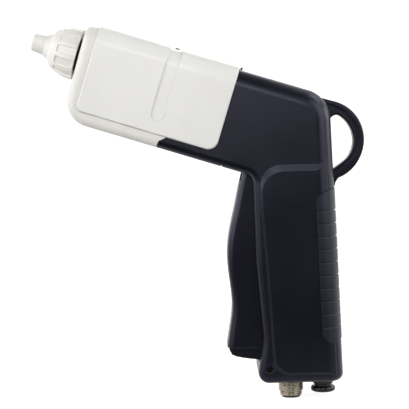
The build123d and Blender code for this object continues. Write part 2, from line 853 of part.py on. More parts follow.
# ------------------------------------------------------------------ air tubes and inlet fitting
LOWER_TUBE = (-43.5, 69.5)
UPPER_TUBE_END = 110.5
with BuildPart() as lower_tube:
    with BuildSketch(Plane.XY.offset(LOWER_TUBE[0])):
        with Locations([(INLET_X, 0)]):
            Circle(TUBE_R)
            Circle(TUBE_BORE, mode=Mode.SUBTRACT)
    extrude(amount=LOWER_TUBE[1] - LOWER_TUBE[0])
save(lower_tube.part, "lower_air_tube")

upper_tube = turned([
    (TUBE_START, TUBE_BORE),
    (TUBE_START, TUBE_R),
    (UPPER_TUBE_END, TUBE_R),
    (UPPER_TUBE_END, TUBE_BORE),
])
save(upper_tube, "upper_air_tube")


def stood(x, corners):
    """Ring or rod turned about an upright axis from points given as radius and Z."""
    with BuildPart() as solid:
        with BuildSketch(Plane(origin=(x, 0, 0), x_dir=(1, 0, 0), z_dir=(0, -1, 0))):
            with BuildLine():
                Polyline(*corners, close=True)
            make_face()
        revolve(axis=Axis((x, 0, 0), (0, 0, 1)))
    return solid.part


BASE_INSIDE = BASE_Z + WALL
NECK_R = 5.5
NECK_LOW_Z = -60.4
FITTING_BORE = 4.75
FITTING_STEP_Z = -49.0
SLEEVE_TOP_Z = -53.0
SLEEVE_BORE = HOSE_R + RUN
PRESS_GAP = 1.2
COLLAR_LOW_Z = -64.7
RELEASE_R = 6.6
FITTING_FLANGE_R = 6.0
inlet_fitting = stood(INLET_X, [
    (FITTING_BORE, NECK_LOW_Z),
    (NECK_R, NECK_LOW_Z),
    (NECK_R, BASE_INSIDE),
    (FITTING_FLANGE_R, BASE_INSIDE),
    (FITTING_FLANGE_R, BASE_INSIDE + 2.5),
    (NECK_R, BASE_INSIDE + 2.5),
    (NECK_R, -46.4),
    (BARB_R + 1.4, -44.2),
    (BARB_R, -44.2),
    (BARB_R, -37.0),
    (BARB_BORE, -37.0),
    (BARB_BORE, FITTING_STEP_Z),
    (FITTING_BORE, FITTING_STEP_Z),
])
save(inlet_fitting, "inlet_fitting")

tube_seal = stood(INLET_X, [
    (4.1, -51.6),
    (FITTING_BORE, -51.6),
    (FITTING_BORE, -50.0),
    (4.1, -50.0),
])
save(tube_seal, "tube_seal")

release_body = stood(INLET_X, [
    (SLEEVE_BORE, COLLAR_LOW_Z),
    (RELEASE_R, COLLAR_LOW_Z),
    (RELEASE_R, NECK_LOW_Z - PRESS_GAP),
    (FITTING_BORE - 0.08, NECK_LOW_Z - PRESS_GAP),
    (FITTING_BORE - 0.08, SLEEVE_TOP_Z),
    (SLEEVE_BORE, SLEEVE_TOP_Z),
])
with BuildPart() as release_collar:
    add(release_body)
    outer_rims = release_collar.edges().filter_by(GeomType.CIRCLE).sort_by(SortBy.LENGTH)[-2:]
    fillet(outer_rims, 1.3)
save(release_collar.part, "release_collar")


# ------------------------------------------------------------------ power connector
GASKET_T = 1.0
RING_R = 6.65
RING_TOP_Z = BASE_Z - GASKET_T
RING_LOW_Z = -63.4
THREAD_LOW_Z = -66.1
INSERT_LOW_Z = -67.2
INSERT_R = 4.9
INSERT_NECK_R = 4.5
SOCKET_R = 4.3
SOCKET_FLOOR_Z = -60.8
CONNECTOR_TOP_Z = -50.5
PIN_CIRCLE = 3.5

connector_insert = stood(M12_X, [
    (SOCKET_R, INSERT_LOW_Z),
    (INSERT_R, INSERT_LOW_Z),
    (INSERT_R, RING_TOP_Z - 0.6),
    (INSERT_NECK_R, RING_TOP_Z - 0.6),
    (INSERT_NECK_R, CONNECTOR_TOP_Z),
    (0, CONNECTOR_TOP_Z),
    (0, SOCKET_FLOOR_Z),
    (SOCKET_R, SOCKET_FLOOR_Z),
])
pin_holes = [
    upright(M12_X + dx, 0.5, SOCKET_FLOOR_Z - 1, SOCKET_FLOOR_Z + 3, dy)
    for dx, dy in ((PIN_CIRCLE, 0), (-PIN_CIRCLE, 0), (0, PIN_CIRCLE), (0, -PIN_CIRCLE))
]
with BuildPart() as insert_with_holes:
    add(connector_insert)
    add(pin_holes, mode=Mode.SUBTRACT)
save(insert_with_holes.part, "connector_insert")

contacts = [
    upright(M12_X + dx, 0.5, -65.6, SOCKET_FLOOR_Z + 3, dy)
    for dx, dy in ((PIN_CIRCLE, 0), (-PIN_CIRCLE, 0), (0, PIN_CIRCLE), (0, -PIN_CIRCLE))
]
with BuildPart() as connector_pins:
    add(contacts)
save(connector_pins.part, "connector_pins")

ring_body = stood(M12_X, [
    (INSERT_R + RUN, THREAD_LOW_Z),
    (M12_R - 0.3, THREAD_LOW_Z),
    (M12_R, THREAD_LOW_Z + 0.3),
    (M12_R, RING_LOW_Z),
    (RING_R, RING_LOW_Z),
    (RING_R, RING_TOP_Z - 0.3),
    (RING_R - 0.3, RING_TOP_Z),
    (INSERT_NECK_R + RUN, RING_TOP_Z),
    (INSERT_NECK_R + RUN, RING_TOP_Z - 0.5),
    (INSERT_R + RUN, RING_TOP_Z - 0.5),
])
thread_cuts = [
    stood(M12_X, [
        (radius - 0.35, z),
        (radius + 1, z - 0.45),
        (radius + 1, z + 0.45),
    ])
    for radius, z in (
        (M12_R, -65.1), (M12_R, -64.1), (RING_R, -62.6), (RING_R, -61.6), (RING_R, -60.6), (RING_R, -59.6)
    )
]
with BuildPart() as connector_shell:
    add(ring_body)
    add(thread_cuts, mode=Mode.SUBTRACT)
save(connector_shell.part, "connector_shell")

gasket = stood(M12_X, [
    (INSERT_NECK_R + RUN, BASE_Z - GASKET_T),
    (6.2, BASE_Z - GASKET_T),
    (6.2, BASE_Z),
    (INSERT_NECK_R + RUN, BASE_Z),
])
save(gasket, "connector_gasket")

NUT_T = 2.4
with BuildPart() as connector_nut:
    with BuildSketch(Plane.XY.offset(BASE_INSIDE)):
        with Locations([(M12_X, 0)]):
            RegularPolygon(6.6, 6, major_radius=False)
            Circle(INSERT_NECK_R + RUN, mode=Mode.SUBTRACT)
    extrude(amount=NUT_T)
    chamfer(connector_nut.faces().sort_by(Axis.Z)[-1].outer_wire().edges(), 0.3)
save(connector_nut.part, "connector_nut")

LEAD_R = 1.5
LEAD_CLEAR = 0.3
LEAD_Y = -(VALVE_HALF + LEAD_CLEAR + LEAD_R)
LEAD_UP = 5.5
HEADER_AT = (78.0, 83.4)
lead_end = in_frame(HEADER_AT[1] + RUN, LEAD_UP)
lead_bend = in_frame((-1.0 - NOSE_X - LEAD_UP * TILT_SIN) / TILT_COS, LEAD_UP)
with BuildPart() as power_lead:
    with BuildLine() as route:
        FilletPolyline(
            (M12_X, 0, CONNECTOR_TOP_Z),
            (M12_X, 0, -44.0),
            (-1.0, LEAD_Y, -20.0),
            (-1.0, LEAD_Y, lead_bend[1]),
            (lead_end[0], LEAD_Y, lead_end[1]),
            radius=5.0,
        )
    with BuildSketch(Plane(origin=route.line @ 0, z_dir=route.line % 0)):
        Circle(LEAD_R)
    sweep()
save(power_lead.part, "power_lead")


# ------------------------------------------------------------------ high-voltage unit and board
HV_AT = (15.0, 47.0)
HV_UP = (BARREL_BOTTOM + WALL + GAP, -9.0)
HV_HALF = BODY_HALF - WALL - 0.5
hv_box = block(BARREL, HV_AT, HV_UP, (-HV_HALF, HV_HALF))
hv_lid = block(BARREL, (17.0, 45.0), (-9.2, -8.2), (-HV_HALF + 2, HV_HALF - 2))
with BuildPart() as hv_module:
    add(hv_box)
    fillet(hv_module.edges(), 1.6)
    add(hv_lid)
save(hv_module.part, "hv_module")

HV_LEAD_UP = -14.0
with BuildPart() as hv_lead:
    with BuildLine() as hv_route:
        FilletPolyline(
            BARREL.from_local_coords((HV_AT[0] - RUN, HV_LEAD_UP, 0)),
            BARREL.from_local_coords((HV_LEAD_AT, HV_LEAD_UP, 0)),
            BARREL.from_local_coords((HV_LEAD_AT, -NEEDLE_R - RUN, 0)),
            radius=2.2,
        )
    with BuildSketch(Plane(origin=hv_route.line @ 0, z_dir=hv_route.line % 0)):
        Circle(HV_LEAD_R)
    sweep()
save(hv_lead.part, "hv_lead")

BOARD_AT = (22.0, 84.0)
BOARD_UP = (8.0, 9.6)
BOARD_HALF = BODY_HALF - WALL - 1.7
save(block(BARREL, BOARD_AT, BOARD_UP, (-BOARD_HALF, BOARD_HALF)), "control_board")

parts_on_board = [
    block(BARREL, (BAND_AT - 1.6, BAND_AT + 1.6), (BOARD_UP[1], 12.2), (-1.4, 1.4)),
    block(BARREL, (25.0, 37.0), (BOARD_UP[1], 12.6), (-11.0, -2.0)),
    block(BARREL, (26.0, 33.0), (BOARD_UP[1], 11.2), (3.0, 10.0)),
    block(BARREL, (38.0, 44.0), (BOARD_UP[1], 11.0), (4.0, 11.0)),
    block(BARREL, (55.0, 65.0), (BOARD_UP[1], 11.6), (-9.0, 3.0)),
    block(BARREL, (69.0, 73.0), (BOARD_UP[1], 12.4), (-10.0, -4.0)),
    block(BARREL, (69.0, 77.0), (BOARD_UP[1], 11.0), (2.0, 10.0)),
    block(BARREL, HEADER_AT, (3.6, BOARD_UP[0]), (8.6, 13.0)),
]
with BuildPart() as board_components:
    add(parts_on_board)
save(board_components.part, "board_components")


# ------------------------------------------------------------------ shell pieces
LEDGE_UP = (6.6, BOARD_UP[0] - RUN)
LEDGE_INNER = BODY_HALF - WALL - 2.9
LIP_T = 1.2
LIP_REACH = 2.6
INNER_HALF = BODY_HALF - WALL
WALL_MID = BODY_HALF - WALL / 2
SLOT_FRONT_X = -30.3
SLOT_Z = (-46.6, 58.5)
CATCH_AT = (COVER_REAR + 0.6, COVER_REAR + 1.6)
LONG = 300.0

HOUSING_REGION = plate(BARREL, [
    (-20, -60),
    (HOUSING_END, -60),
    (HOUSING_END, BARREL_BOTTOM + HOUSING_STEP + 0.4),
    (HOUSING_END + HOUSING_STEP, COVER_LOW - 0.6),
    (HOUSING_END + HOUSING_STEP, 40),
    (-20, 40),
], 40)
DARK_REGION = plate(BARREL, [
    (HOUSING_END + SEAM, -LONG),
    (HOUSING_END + SEAM, BARREL_BOTTOM + HOUSING_STEP + 0.4),
    (HOUSING_END + HOUSING_STEP + SEAM, COVER_LOW - 0.6),
    (HOUSING_END + HOUSING_STEP + SEAM, 40),
    (LONG, 40),
    (LONG, -LONG),
], 40)

seat_boss = turned([(2.4, 0), (2.4, 12.4), (SNOUT_SEAT, 12.4), (SNOUT_SEAT, 0)])
snout_hole = turned([(-5, 0), (-5, THREAD_R + GAP), (8, THREAD_R + GAP), (8, 0)])
with BuildPart(LAMP_PLANE) as lamp_shaft_hole:
    with Locations([(0, 0, BARREL_TOP - 2)]):
        Cylinder(LAMP_SHAFT_R + GAP, 12)
front_ledges = [
    block(BARREL, (BOARD_AT[0], HOUSING_END - LIP_REACH - 0.5), LEDGE_UP, (LEDGE_INNER, WALL_MID)),
    block(BARREL, (BOARD_AT[0], HOUSING_END - LIP_REACH - 0.5), LEDGE_UP, (-WALL_MID, -LEDGE_INNER)),
]
with BuildPart() as front_housing:
    add(FORM)
    add(HOLLOW, mode=Mode.SUBTRACT)
    add(seat_boss)
    add(front_ledges)
    add(HOUSING_REGION, mode=Mode.INTERSECT)
    add(snout_hole, mode=Mode.SUBTRACT)
    add(cover_recess.part, mode=Mode.SUBTRACT)
    add(lamp_shaft_hole.part, mode=Mode.SUBTRACT)
save(front_housing.part, "front_housing")

# The lip of the dark halves that slides inside the front housing
LIP_OUTSIDE = gun_form(INNER_HALF - GAP, WALL + GAP, SOFT_EDGE - WALL, SMALL_EDGE - WALL)
LIP_INSIDE = gun_form(INNER_HALF - LIP_T, WALL + LIP_T, SOFT_EDGE - WALL - LIP_T, 0.4)
lip_region = block(BARREL, (HOUSING_END - LIP_REACH, HOUSING_END + 8), (-60, 40), (-30, 30))
with BuildPart() as joint_lip:
    add(LIP_OUTSIDE)
    add(LIP_INSIDE, mode=Mode.SUBTRACT)
    add(lip_region, mode=Mode.INTERSECT)

# Screws from the right side hold the halves; one small screw at the base comes from the left
CASE_SCREWS = [
    (5.0, -38.0),
    (5.0, 6.0),
    (5.0, 50.0),
    in_frame(75.0, -22.5),
    in_frame(97.0, -8.0),
]
BASE_SCREW = (-16.7, -49.0)
BASE_BOSS_R = 2.6
BASE_SCREW_R = 1.0
BASE_HEAD_R = 1.6
POCKET_R = 2.1
POCKET_DEPTH = 0.5
POCKET_RUN = 5.0
POCKET_LEAN = 37.0
HEAD_SEAT = BODY_HALF - 3.1
HEAD_T = 2.0
THREAD_END = BODY_HALF - 7.5

bosses = [rod(SIDE, place, BOSS_R, (-WALL_MID, WALL_MID)) for place in CASE_SCREWS]
head_bosses = [rod(SIDE, place, HEAD_BOSS_R, (-WALL_MID, -HEAD_SEAT + 3)) for place in CASE_SCREWS]
base_boss = rod(SIDE, BASE_SCREW, BASE_BOSS_R, (-WALL_MID, WALL_MID))
pivot_bosses = [
    rod(SIDE, (PIVOT_X, PIVOT_Z), 4.5, (TRIGGER_HALF + 0.3, WALL_MID)),
    rod(SIDE, (PIVOT_X, PIVOT_Z), 4.5, (-WALL_MID, -TRIGGER_HALF - 0.3)),
]
valve_ribs = [
    block(SIDE, (9.0, 12.0), (VALVE_LOW_Z + 2, VALVE_TOP_Z - 4), (VALVE_HALF + RUN, WALL_MID)),
    block(SIDE, (9.0, 12.0), (VALVE_LOW_Z + 2, VALVE_TOP_Z - 4), (-WALL_MID, -VALVE_HALF - RUN)),
]
switch_post = block(SIDE, (-15.0, -9.0), (67.4, 71.0), (-WALL_MID, -SWITCH_HALF - RUN))
LEDGE_FROM = HOUSING_END - LIP_REACH + 0.6
WALL_FROM = HOUSING_END + HOUSING_STEP + 0.6
LIP_HALF = INNER_HALF - GAP
rear_ledges = [
    block(BARREL, (LEDGE_FROM, BOARD_AT[1]), LEDGE_UP, (LEDGE_INNER, LIP_HALF)),
    block(BARREL, (LEDGE_FROM, BOARD_AT[1]), LEDGE_UP, (-LIP_HALF, -LEDGE_INNER)),
    block(BARREL, (WALL_FROM, BOARD_AT[1]), LEDGE_UP, (LIP_HALF, WALL_MID)),
    block(BARREL, (WALL_FROM, BOARD_AT[1]), LEDGE_UP, (-WALL_MID, -LIP_HALF)),
]
catch = block(BARREL, CATCH_AT, (BARREL_TOP - 1.0, BARREL_TOP + COVER_STAND - 0.1), (-9.5, 9.5))
underside_groove = block(BARREL, (87.6, 88.5), (BARREL_BOTTOM - 1, BARREL_BOTTOM + 0.5), (-30, 30))

slot = block(SIDE, (SLOT_FRONT_X, -14.0), SLOT_Z, (-SLOT_HALF, SLOT_HALF))
pin_seat = rod(SIDE, (PIVOT_X, PIVOT_Z), PIN_R + RUN, (-PIN_HALF - 0.1, PIN_HALF + 0.1))
screw_holes = [rod(SIDE, place, SCREW_HOLE_R, (-BODY_HALF - 2, THREAD_END + 1))
               for place in CASE_SCREWS]
head_holes = [rod(SIDE, place, HEAD_R + 0.2, (-BODY_HALF - 2, -HEAD_SEAT))
              for place in CASE_SCREWS]
base_screw_hole = rod(SIDE, BASE_SCREW, BASE_SCREW_R + 0.1, (-8, BODY_HALF + 2))
base_head_hole = rod(SIDE, BASE_SCREW, BASE_HEAD_R + 0.1, (HEAD_SEAT + 0.6, BODY_HALF + 2))
pocket_middle = (
    BASE_SCREW[0] + POCKET_RUN / 2 * cos(radians(POCKET_LEAN)),
    BASE_SCREW[1] + POCKET_RUN / 2 * sin(radians(POCKET_LEAN)),
)
with BuildPart() as base_pocket:
    with BuildSketch(SIDE.offset(BODY_HALF - POCKET_DEPTH)):
        with Locations([pocket_middle]):
            SlotCenterToCenter(POCKET_RUN, POCKET_R * 2, rotation=POCKET_LEAN)
    extrude(amount=POCKET_DEPTH + 3)
    add(PADS, mode=Mode.SUBTRACT)
connector_hole = upright(M12_X, INSERT_NECK_R + GAP, BASE_Z - 2, BASE_Z + 6)
fitting_hole = upright(INLET_X, NECK_R + GAP, BASE_Z - 2, BASE_Z + 5)

with BuildPart() as fixings:
    add(bosses)
    add(head_bosses)
    add(base_boss)
    add(pivot_bosses)
    add(valve_ribs)
    add(switch_post)
    add(FORM, mode=Mode.INTERSECT)

with BuildPart() as body:
    add(OUTSIDE)
    add(HOLLOW, mode=Mode.SUBTRACT)
    add(fixings.part)
    add(catch)
    add(underside_groove, mode=Mode.SUBTRACT)
    add(DARK_REGION, mode=Mode.INTERSECT)
    add(joint_lip.part)
    add(rear_ledges)
    add(cover_recess.part, mode=Mode.SUBTRACT)
    add(slot, mode=Mode.SUBTRACT)
    add(insert_recess.part, mode=Mode.SUBTRACT)
    add(loop_pocket.part, mode=Mode.SUBTRACT)
    add([pin_seat, connector_hole, fitting_hole], mode=Mode.SUBTRACT)
    add(screw_holes, mode=Mode.SUBTRACT)
    add(head_holes, mode=Mode.SUBTRACT)
    add([base_screw_hole, base_head_hole, base_pocket.part], mode=Mode.SUBTRACT)

with BuildPart() as body_left:
    add(body.part)
    split(bisect_by=Plane.XZ, keep=Keep.TOP)
save(body_left.part, "body_left")

with BuildPart() as body_right:
    add(body.part)
    split(bisect_by=Plane.XZ, keep=Keep.BOTTOM)
save(body_right.part, "body_right")


# ------------------------------------------------------------------ screws
def screw(place, radius, head_radius, head_span, end):
    """Pan-head screw across the gun with a cross recess; distances run towards -Y."""
    seat, top = head_span
    shank = rod(SIDE, place, radius, (min(seat, end), max(seat, end)))
    head = rod(SIDE, place, head_radius, (min(seat, top), max(seat, top)))
    inward = 0.8 if top > seat else -0.8
    x, z = place
    depth = (min(top, top - inward) - 0.01, max(top, top - inward) + 0.01)
    bars = [
        block(SIDE, (x - head_radius * 0.6, x + head_radius * 0.6), (z - 0.25, z + 0.25), depth),
        block(SIDE, (x - 0.25, x + 0.25), (z - head_radius * 0.6, z + head_radius * 0.6), depth),
    ]
    with BuildPart() as whole:
        add(head)
        chamfer(whole.edges().filter_by(GeomType.CIRCLE).sort_by(Axis.Y)[0 if top > seat else -1],
                0.35)
        add(shank)
        add(bars, mode=Mode.SUBTRACT)
    return whole.part


case_screw_solids = [
    screw(place, SCREW_R, HEAD_R, (-HEAD_SEAT, -HEAD_SEAT - HEAD_T), THREAD_END)
    for place in CASE_SCREWS
]
with BuildPart() as case_screws:
    add(case_screw_solids)
save(case_screws.part, "case_screws")

save(
    screw(BASE_SCREW, BASE_SCREW_R, BASE_HEAD_R, (HEAD_SEAT + 0.6, HEAD_SEAT + 2.2), -7.0),
    "base_screw",
)
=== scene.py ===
# %% [markdown]
# # An ionising air gun, dressed
# The solid model of the gun is loaded as a fixed frame, in metres. Here its pieces get their
# real finishes, a few of them are modelled again with finer detail, and the gun is stood in
# a small, plain studio. The nozzle points to -X and 18 degrees up, +Z is up, and -Y is the
# left side.

# %% Load the frame
from math import atan2, cos, degrees, hypot, pi, radians, sin

import bpy
from mathutils import Matrix, Vector


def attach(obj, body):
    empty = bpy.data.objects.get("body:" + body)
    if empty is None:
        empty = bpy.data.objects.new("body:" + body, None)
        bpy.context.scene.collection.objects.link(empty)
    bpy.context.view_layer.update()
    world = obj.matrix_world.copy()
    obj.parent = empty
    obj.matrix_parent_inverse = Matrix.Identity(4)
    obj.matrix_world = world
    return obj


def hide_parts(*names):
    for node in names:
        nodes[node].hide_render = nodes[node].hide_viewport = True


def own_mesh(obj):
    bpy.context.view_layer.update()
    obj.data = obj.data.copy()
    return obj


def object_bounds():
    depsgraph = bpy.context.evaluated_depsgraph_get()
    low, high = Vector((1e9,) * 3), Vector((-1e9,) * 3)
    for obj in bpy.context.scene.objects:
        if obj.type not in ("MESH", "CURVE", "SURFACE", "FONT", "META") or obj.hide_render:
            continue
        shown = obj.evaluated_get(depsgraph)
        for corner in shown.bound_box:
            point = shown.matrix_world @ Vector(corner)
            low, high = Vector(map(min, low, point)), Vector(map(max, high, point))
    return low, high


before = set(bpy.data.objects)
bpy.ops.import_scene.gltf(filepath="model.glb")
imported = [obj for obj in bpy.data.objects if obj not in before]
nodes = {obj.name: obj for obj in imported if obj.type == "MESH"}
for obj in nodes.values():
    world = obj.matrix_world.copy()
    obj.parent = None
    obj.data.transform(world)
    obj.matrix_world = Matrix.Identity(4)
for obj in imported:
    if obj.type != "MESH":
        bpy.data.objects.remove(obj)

cad_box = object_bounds()
MM = 0.001
BARREL_SLOPE = 18
print("solid pieces:", len(nodes))

# %% [markdown]
# ## Camera
# The gun is looked at from its left side, a little from above, with a long lens from about
# 0.7 m away, so that the far side hardly shrinks. The camera leans by 1.5 degrees.

# %% Camera
LOOK_AT = Vector((-48.71, 0.0, 37.63)) * MM
CAMERA_AWAY = 695.5 * MM
LOOK_DOWN = radians(4.0)
LEAN = radians(1.5)
VIEW_WIDTH = 218.8 * MM
SENSOR = 36.0

forward = Vector((0, cos(LOOK_DOWN), -sin(LOOK_DOWN)))
level_up = Vector((0, sin(LOOK_DOWN), cos(LOOK_DOWN)))
level_right = Vector((1, 0, 0))
right = level_right * cos(LEAN) - level_up * sin(LEAN)
up = level_right * sin(LEAN) + level_up * cos(LEAN)
camera_data = bpy.data.cameras.new("camera")
camera_data.sensor_width = SENSOR
camera_data.lens = SENSOR * CAMERA_AWAY / VIEW_WIDTH
camera = bpy.data.objects.new("camera", camera_data)
turn = Matrix((right, up, -forward)).transposed().to_4x4()
camera.matrix_world = Matrix.Translation(LOOK_AT - forward * CAMERA_AWAY) @ turn
bpy.context.scene.collection.objects.link(camera)
bpy.context.scene.camera = camera
print("lens", round(camera_data.lens, 1), "mm")

# %% [markdown]
# ## Finding and joining shader nodes
# Every finish below is a small tree of shader nodes. One helper adds a node, sets it and
# joins its inputs, so that each finish reads as a list of what it is made of. A Mix node has
# several inputs of the same name, so its colours are found by their numbers.

# %% Shader helpers
COLOUR_A, COLOUR_B, MIXED_COLOUR = 6, 7, 2
WELL_ROUNDED, NEARLY_FLAT = 0.82, 0.998


def linear(code):
    """A colour written as in a paint program, such as 2A2B36, as linear light."""
    values = [int(code[i:i + 2], 16) / 255 for i in (0, 2, 4)]
    return [v / 12.92 if v <= 0.04045 else ((v + 0.055) / 1.055) ** 2.4 for v in values] + [1]


def shade_node(tree, kind, links=None, **settings):
    """A node of a kind, with its settings; links names an input and gives its value or source."""
    made = tree.nodes.new("ShaderNode" + kind)
    for key, value in settings.items():
        setattr(made, key, value)
    for key, value in (links or {}).items():
        socket = made.inputs[key]
        if isinstance(value, bpy.types.NodeSocket):
            tree.links.new(value, socket)
        else:
            socket.default_value = value
    return made


def new_finish(name, **sockets):
    """A material with one principled shader, whose even values are set on its own sockets."""
    finish = bpy.data.materials.new(name)
    finish.use_nodes = True
    tree = finish.node_tree
    tree.nodes.clear()
    values = {key.replace("_", " "): value for key, value in sockets.items()}
    shader = shade_node(tree, "BsdfPrincipled", values)
    shade_node(tree, "OutputMaterial", {"Surface": shader.outputs["BSDF"]})
    return finish, tree, shader


def place_on(tree, stretch=(1, 1, 1), turn=(0, 0, 0)):
    """Coordinates of the surface on the object itself, in metres, stretched and turned."""
    coords = shade_node(tree, "TexCoord")
    return shade_node(tree, "Mapping", {
        "Vector": coords.outputs["Object"],
        "Rotation": turn,
        "Scale": stretch,
    }).outputs["Vector"]


def noise(tree, size_mm, where=None, detail=2.0, rough=0.5):
    """Cloudy noise whose lumps are about this size."""
    return shade_node(tree, "TexNoise", {
        "Vector": where or place_on(tree),
        "Scale": 1000 / size_mm,
        "Detail": detail,
        "Roughness": rough,
    }).outputs["Fac"]


def spread(tree, value, low, high, floor=0.0, top=1.0):
    """Stretches a value from one span to another."""
    return shade_node(tree, "MapRange", {
        "Value": value, "From Min": floor, "From Max": top, "To Min": low, "To Max": high,
    }).outputs["Result"]


def blend_colours(tree, amount, one, other):
    """Mixes two colours; each is a plain colour or the output of another node."""
    return shade_node(tree, "Mix", {"Factor": amount, COLOUR_A: one, COLOUR_B: other},
                      data_type="RGBA").outputs[MIXED_COLOUR]


def soft_edge(tree, radius_mm):
    """Normal that rounds sharp edges, and how near an edge a point is, from 0 to 1."""
    rounded = shade_node(tree, "Bevel", {"Radius": radius_mm * MM}, samples=6).outputs["Normal"]
    true = shade_node(tree, "NewGeometry").outputs["Normal"]
    across = shade_node(tree, "VectorMath", {0: rounded, 1: true}, operation="DOT_PRODUCT")
    on_edge = spread(tree, across.outputs["Value"], 1.0, 0.0, WELL_ROUNDED, NEARLY_FLAT)
    return rounded, on_edge


def relief(tree, height, depth_mm, normal=None):
    """Bump of a real depth."""
    links = {"Height": height, "Distance": depth_mm * MM, "Strength": 1.0}
    if normal is not None:
        links["Normal"] = normal
    return shade_node(tree, "Bump", links).outputs["Normal"]


print("helpers ready")

# %% [markdown]
# ## White moulded housing
# The front shell is ABS, moulded against a polished steel tool: a warm white skin with a soft
# gloss. Real mouldings are never quite flat, so a slow swell bends the reflections a little,
# a very fine grain takes the hardest shine off, and the edges are rounded by a hair.

# %% White ABS
def moulded(name, colour, shade, roughness, grain_mm, grain_depth_mm, edge_mm=0.25,
            edge_wear_and_highlight=None, wear_and_highlight_share=0.5, swell_mm=9.0, swell_depth_mm=0.01, **sockets):
    """Moulded plastic: two nearby tones, grain, slow swell, edges lighter (wear, painted
    highlight).
    """
    finish, tree, shader = new_finish(name, **sockets)
    tone = noise(tree, 26.0, detail=3.0)
    edge_normal, on_edge = soft_edge(tree, edge_mm)
    share = spread(tree, tone, 0.0, 1.0, 0.35, 0.65)
    base = blend_colours(tree, share, linear(colour), linear(shade))
    # Edges are mixed towards a lighter colour: partly wear, partly a painted highlight.
    if edge_wear_and_highlight:
        scuff_and_glint = noise(tree, 1.6, detail=3.0)
        worn_and_lit = shade_node(tree, "Math", {
            0: on_edge,
            1: spread(tree, scuff_and_glint, 0.0, wear_and_highlight_share, 0.38, 0.62),
        }, operation="MULTIPLY").outputs[0]
        base = blend_colours(tree, worn_and_lit, base, linear(edge_wear_and_highlight))
    grain = noise(tree, grain_mm, detail=2.0)
    swell = noise(tree, swell_mm, detail=0.0)
    fine = relief(tree, grain, grain_depth_mm, edge_normal)
    tree.links.new(relief(tree, swell, swell_depth_mm, fine), shader.inputs["Normal"])
    tree.links.new(base, shader.inputs["Base Color"])
    gloss = spread(tree, tone, roughness - 0.05, roughness + 0.05, 0.3, 0.7)
    tree.links.new(gloss, shader.inputs["Roughness"])
    return finish


# The lighter white on the edges is a painted highlight along the rounded edges.
white_abs = moulded("white_abs", "E9E7E3", "E5E3DE", 0.36, 0.35, 0.0025, edge_mm=0.5,
                    edge_wear_and_highlight="F2F1EE", Specular_IOR_Level=0.5)
cover_abs = moulded("white_cover_abs", "EEEDEA", "EAE9E5", 0.34, 0.35, 0.002, edge_mm=0.5,
                    edge_wear_and_highlight="F6F5F3", Specular_IOR_Level=0.5)
print("made", white_abs.name, cover_abs.name)

# %% [markdown]
# ## White acetal
# The nozzle and its collar are acetal, a slippery engineering plastic. It lets a little
# light in, which softens the flutes, so it gets some scattering under its surface.

# %% Acetal
# The lighter white on the edges is a painted highlight along the rounded edges.
acetal = moulded("white_acetal", "F0EEE9", "ECEAE4", 0.40, 0.5, 0.002, edge_mm=0.4,
                 edge_wear_and_highlight="F7F6F3", Subsurface_Weight=0.15, Subsurface_Scale=0.0008,
                 Subsurface_Radius=(1.0, 0.9, 0.8))
print("made", acetal.name)

# %% [markdown]
# ## Dark nylon of the grip
# The rear body is glass-filled nylon from a spark-eroded tool. Its grain is a fifth of a
# millimetre and it is blue-black. Its edges are a lighter grey, partly wear, partly painted
# highlight.

# %% Dark nylon
BLUE_SHEEN = linear("E0E2FF")
dark_nylon = moulded("dark_nylon", "0F1018", "0D0E15", 0.33, 0.22, 0.010, edge_mm=0.55,
                     edge_wear_and_highlight="3B3C44", wear_and_highlight_share=0.6, swell_depth_mm=0.006,
                     Specular_Tint=BLUE_SHEEN)
trigger_nylon = moulded("trigger_nylon", "0F1018", "0D0E15", 0.33, 0.22, 0.008, edge_mm=0.5,
                        edge_wear_and_highlight="43444C", wear_and_highlight_share=0.8, swell_depth_mm=0.006,
                        Specular_Tint=BLUE_SHEEN)
loop_nylon = moulded("loop_nylon", "0F1018", "0D0E15", 0.31, 0.22, 0.010, edge_mm=0.4,
                     edge_wear_and_highlight="3A3B42", wear_and_highlight_share=0.6, swell_depth_mm=0.006,
                     Specular_Tint=BLUE_SHEEN)
print("made", dark_nylon.name, trigger_nylon.name, loop_nylon.name)

# %% [markdown]
# ## Soft grip insert
# The ribbed back of the grip is an elastomer: duller than nylon, with a faint sheen at a
# glancing angle where its skin is dusty.

# %% Elastomer
# The lighter grey on its edges is partly wear and partly a painted highlight.
elastomer = moulded("grip_elastomer", "191A24", "16171F", 0.40, 0.3, 0.012, edge_mm=0.35,
                    edge_wear_and_highlight="34353E", wear_and_highlight_share=0.4, Specular_Tint=BLUE_SHEEN,
                    Sheen_Weight=0.12, Sheen_Roughness=0.5)
print("made", elastomer.name)

# %% [markdown]
# ## Small black parts
# The snout and the hose fitting are shiny acetal, the block that holds the contacts is plain
# polyamide, and the seals are nitrile rubber with a fine matt bloom. Inside, the parts on the
# board are dull epoxy and the high-voltage unit is potted in a shinier one.

# %% Black acetal, polyamide and nitrile
# The lighter grey on the edges of these parts is partly wear and partly a painted highlight.
black_acetal = moulded("black_acetal", "121214", "0E0E10", 0.26, 0.4, 0.003, edge_mm=0.3,
                       edge_wear_and_highlight="2A2A2C", wear_and_highlight_share=0.5)
polyamide = moulded("black_polyamide", "151516", "111112", 0.5, 0.2, 0.006, edge_wear_and_highlight="29292A")
nitrile = moulded("nitrile_rubber", "111112", "0D0D0E", 0.68, 0.25, 0.01, edge_wear_and_highlight="232324")
component_epoxy = moulded("component_epoxy", "17171A", "131316", 0.52, 0.15, 0.006,
                          edge_wear_and_highlight="2C2C30")
potting = moulded("potting_epoxy", "18181C", "101013", 0.32, 1.2, 0.02, edge_wear_and_highlight="2E2E33")
print("made", black_acetal.name, polyamide.name, nitrile.name)

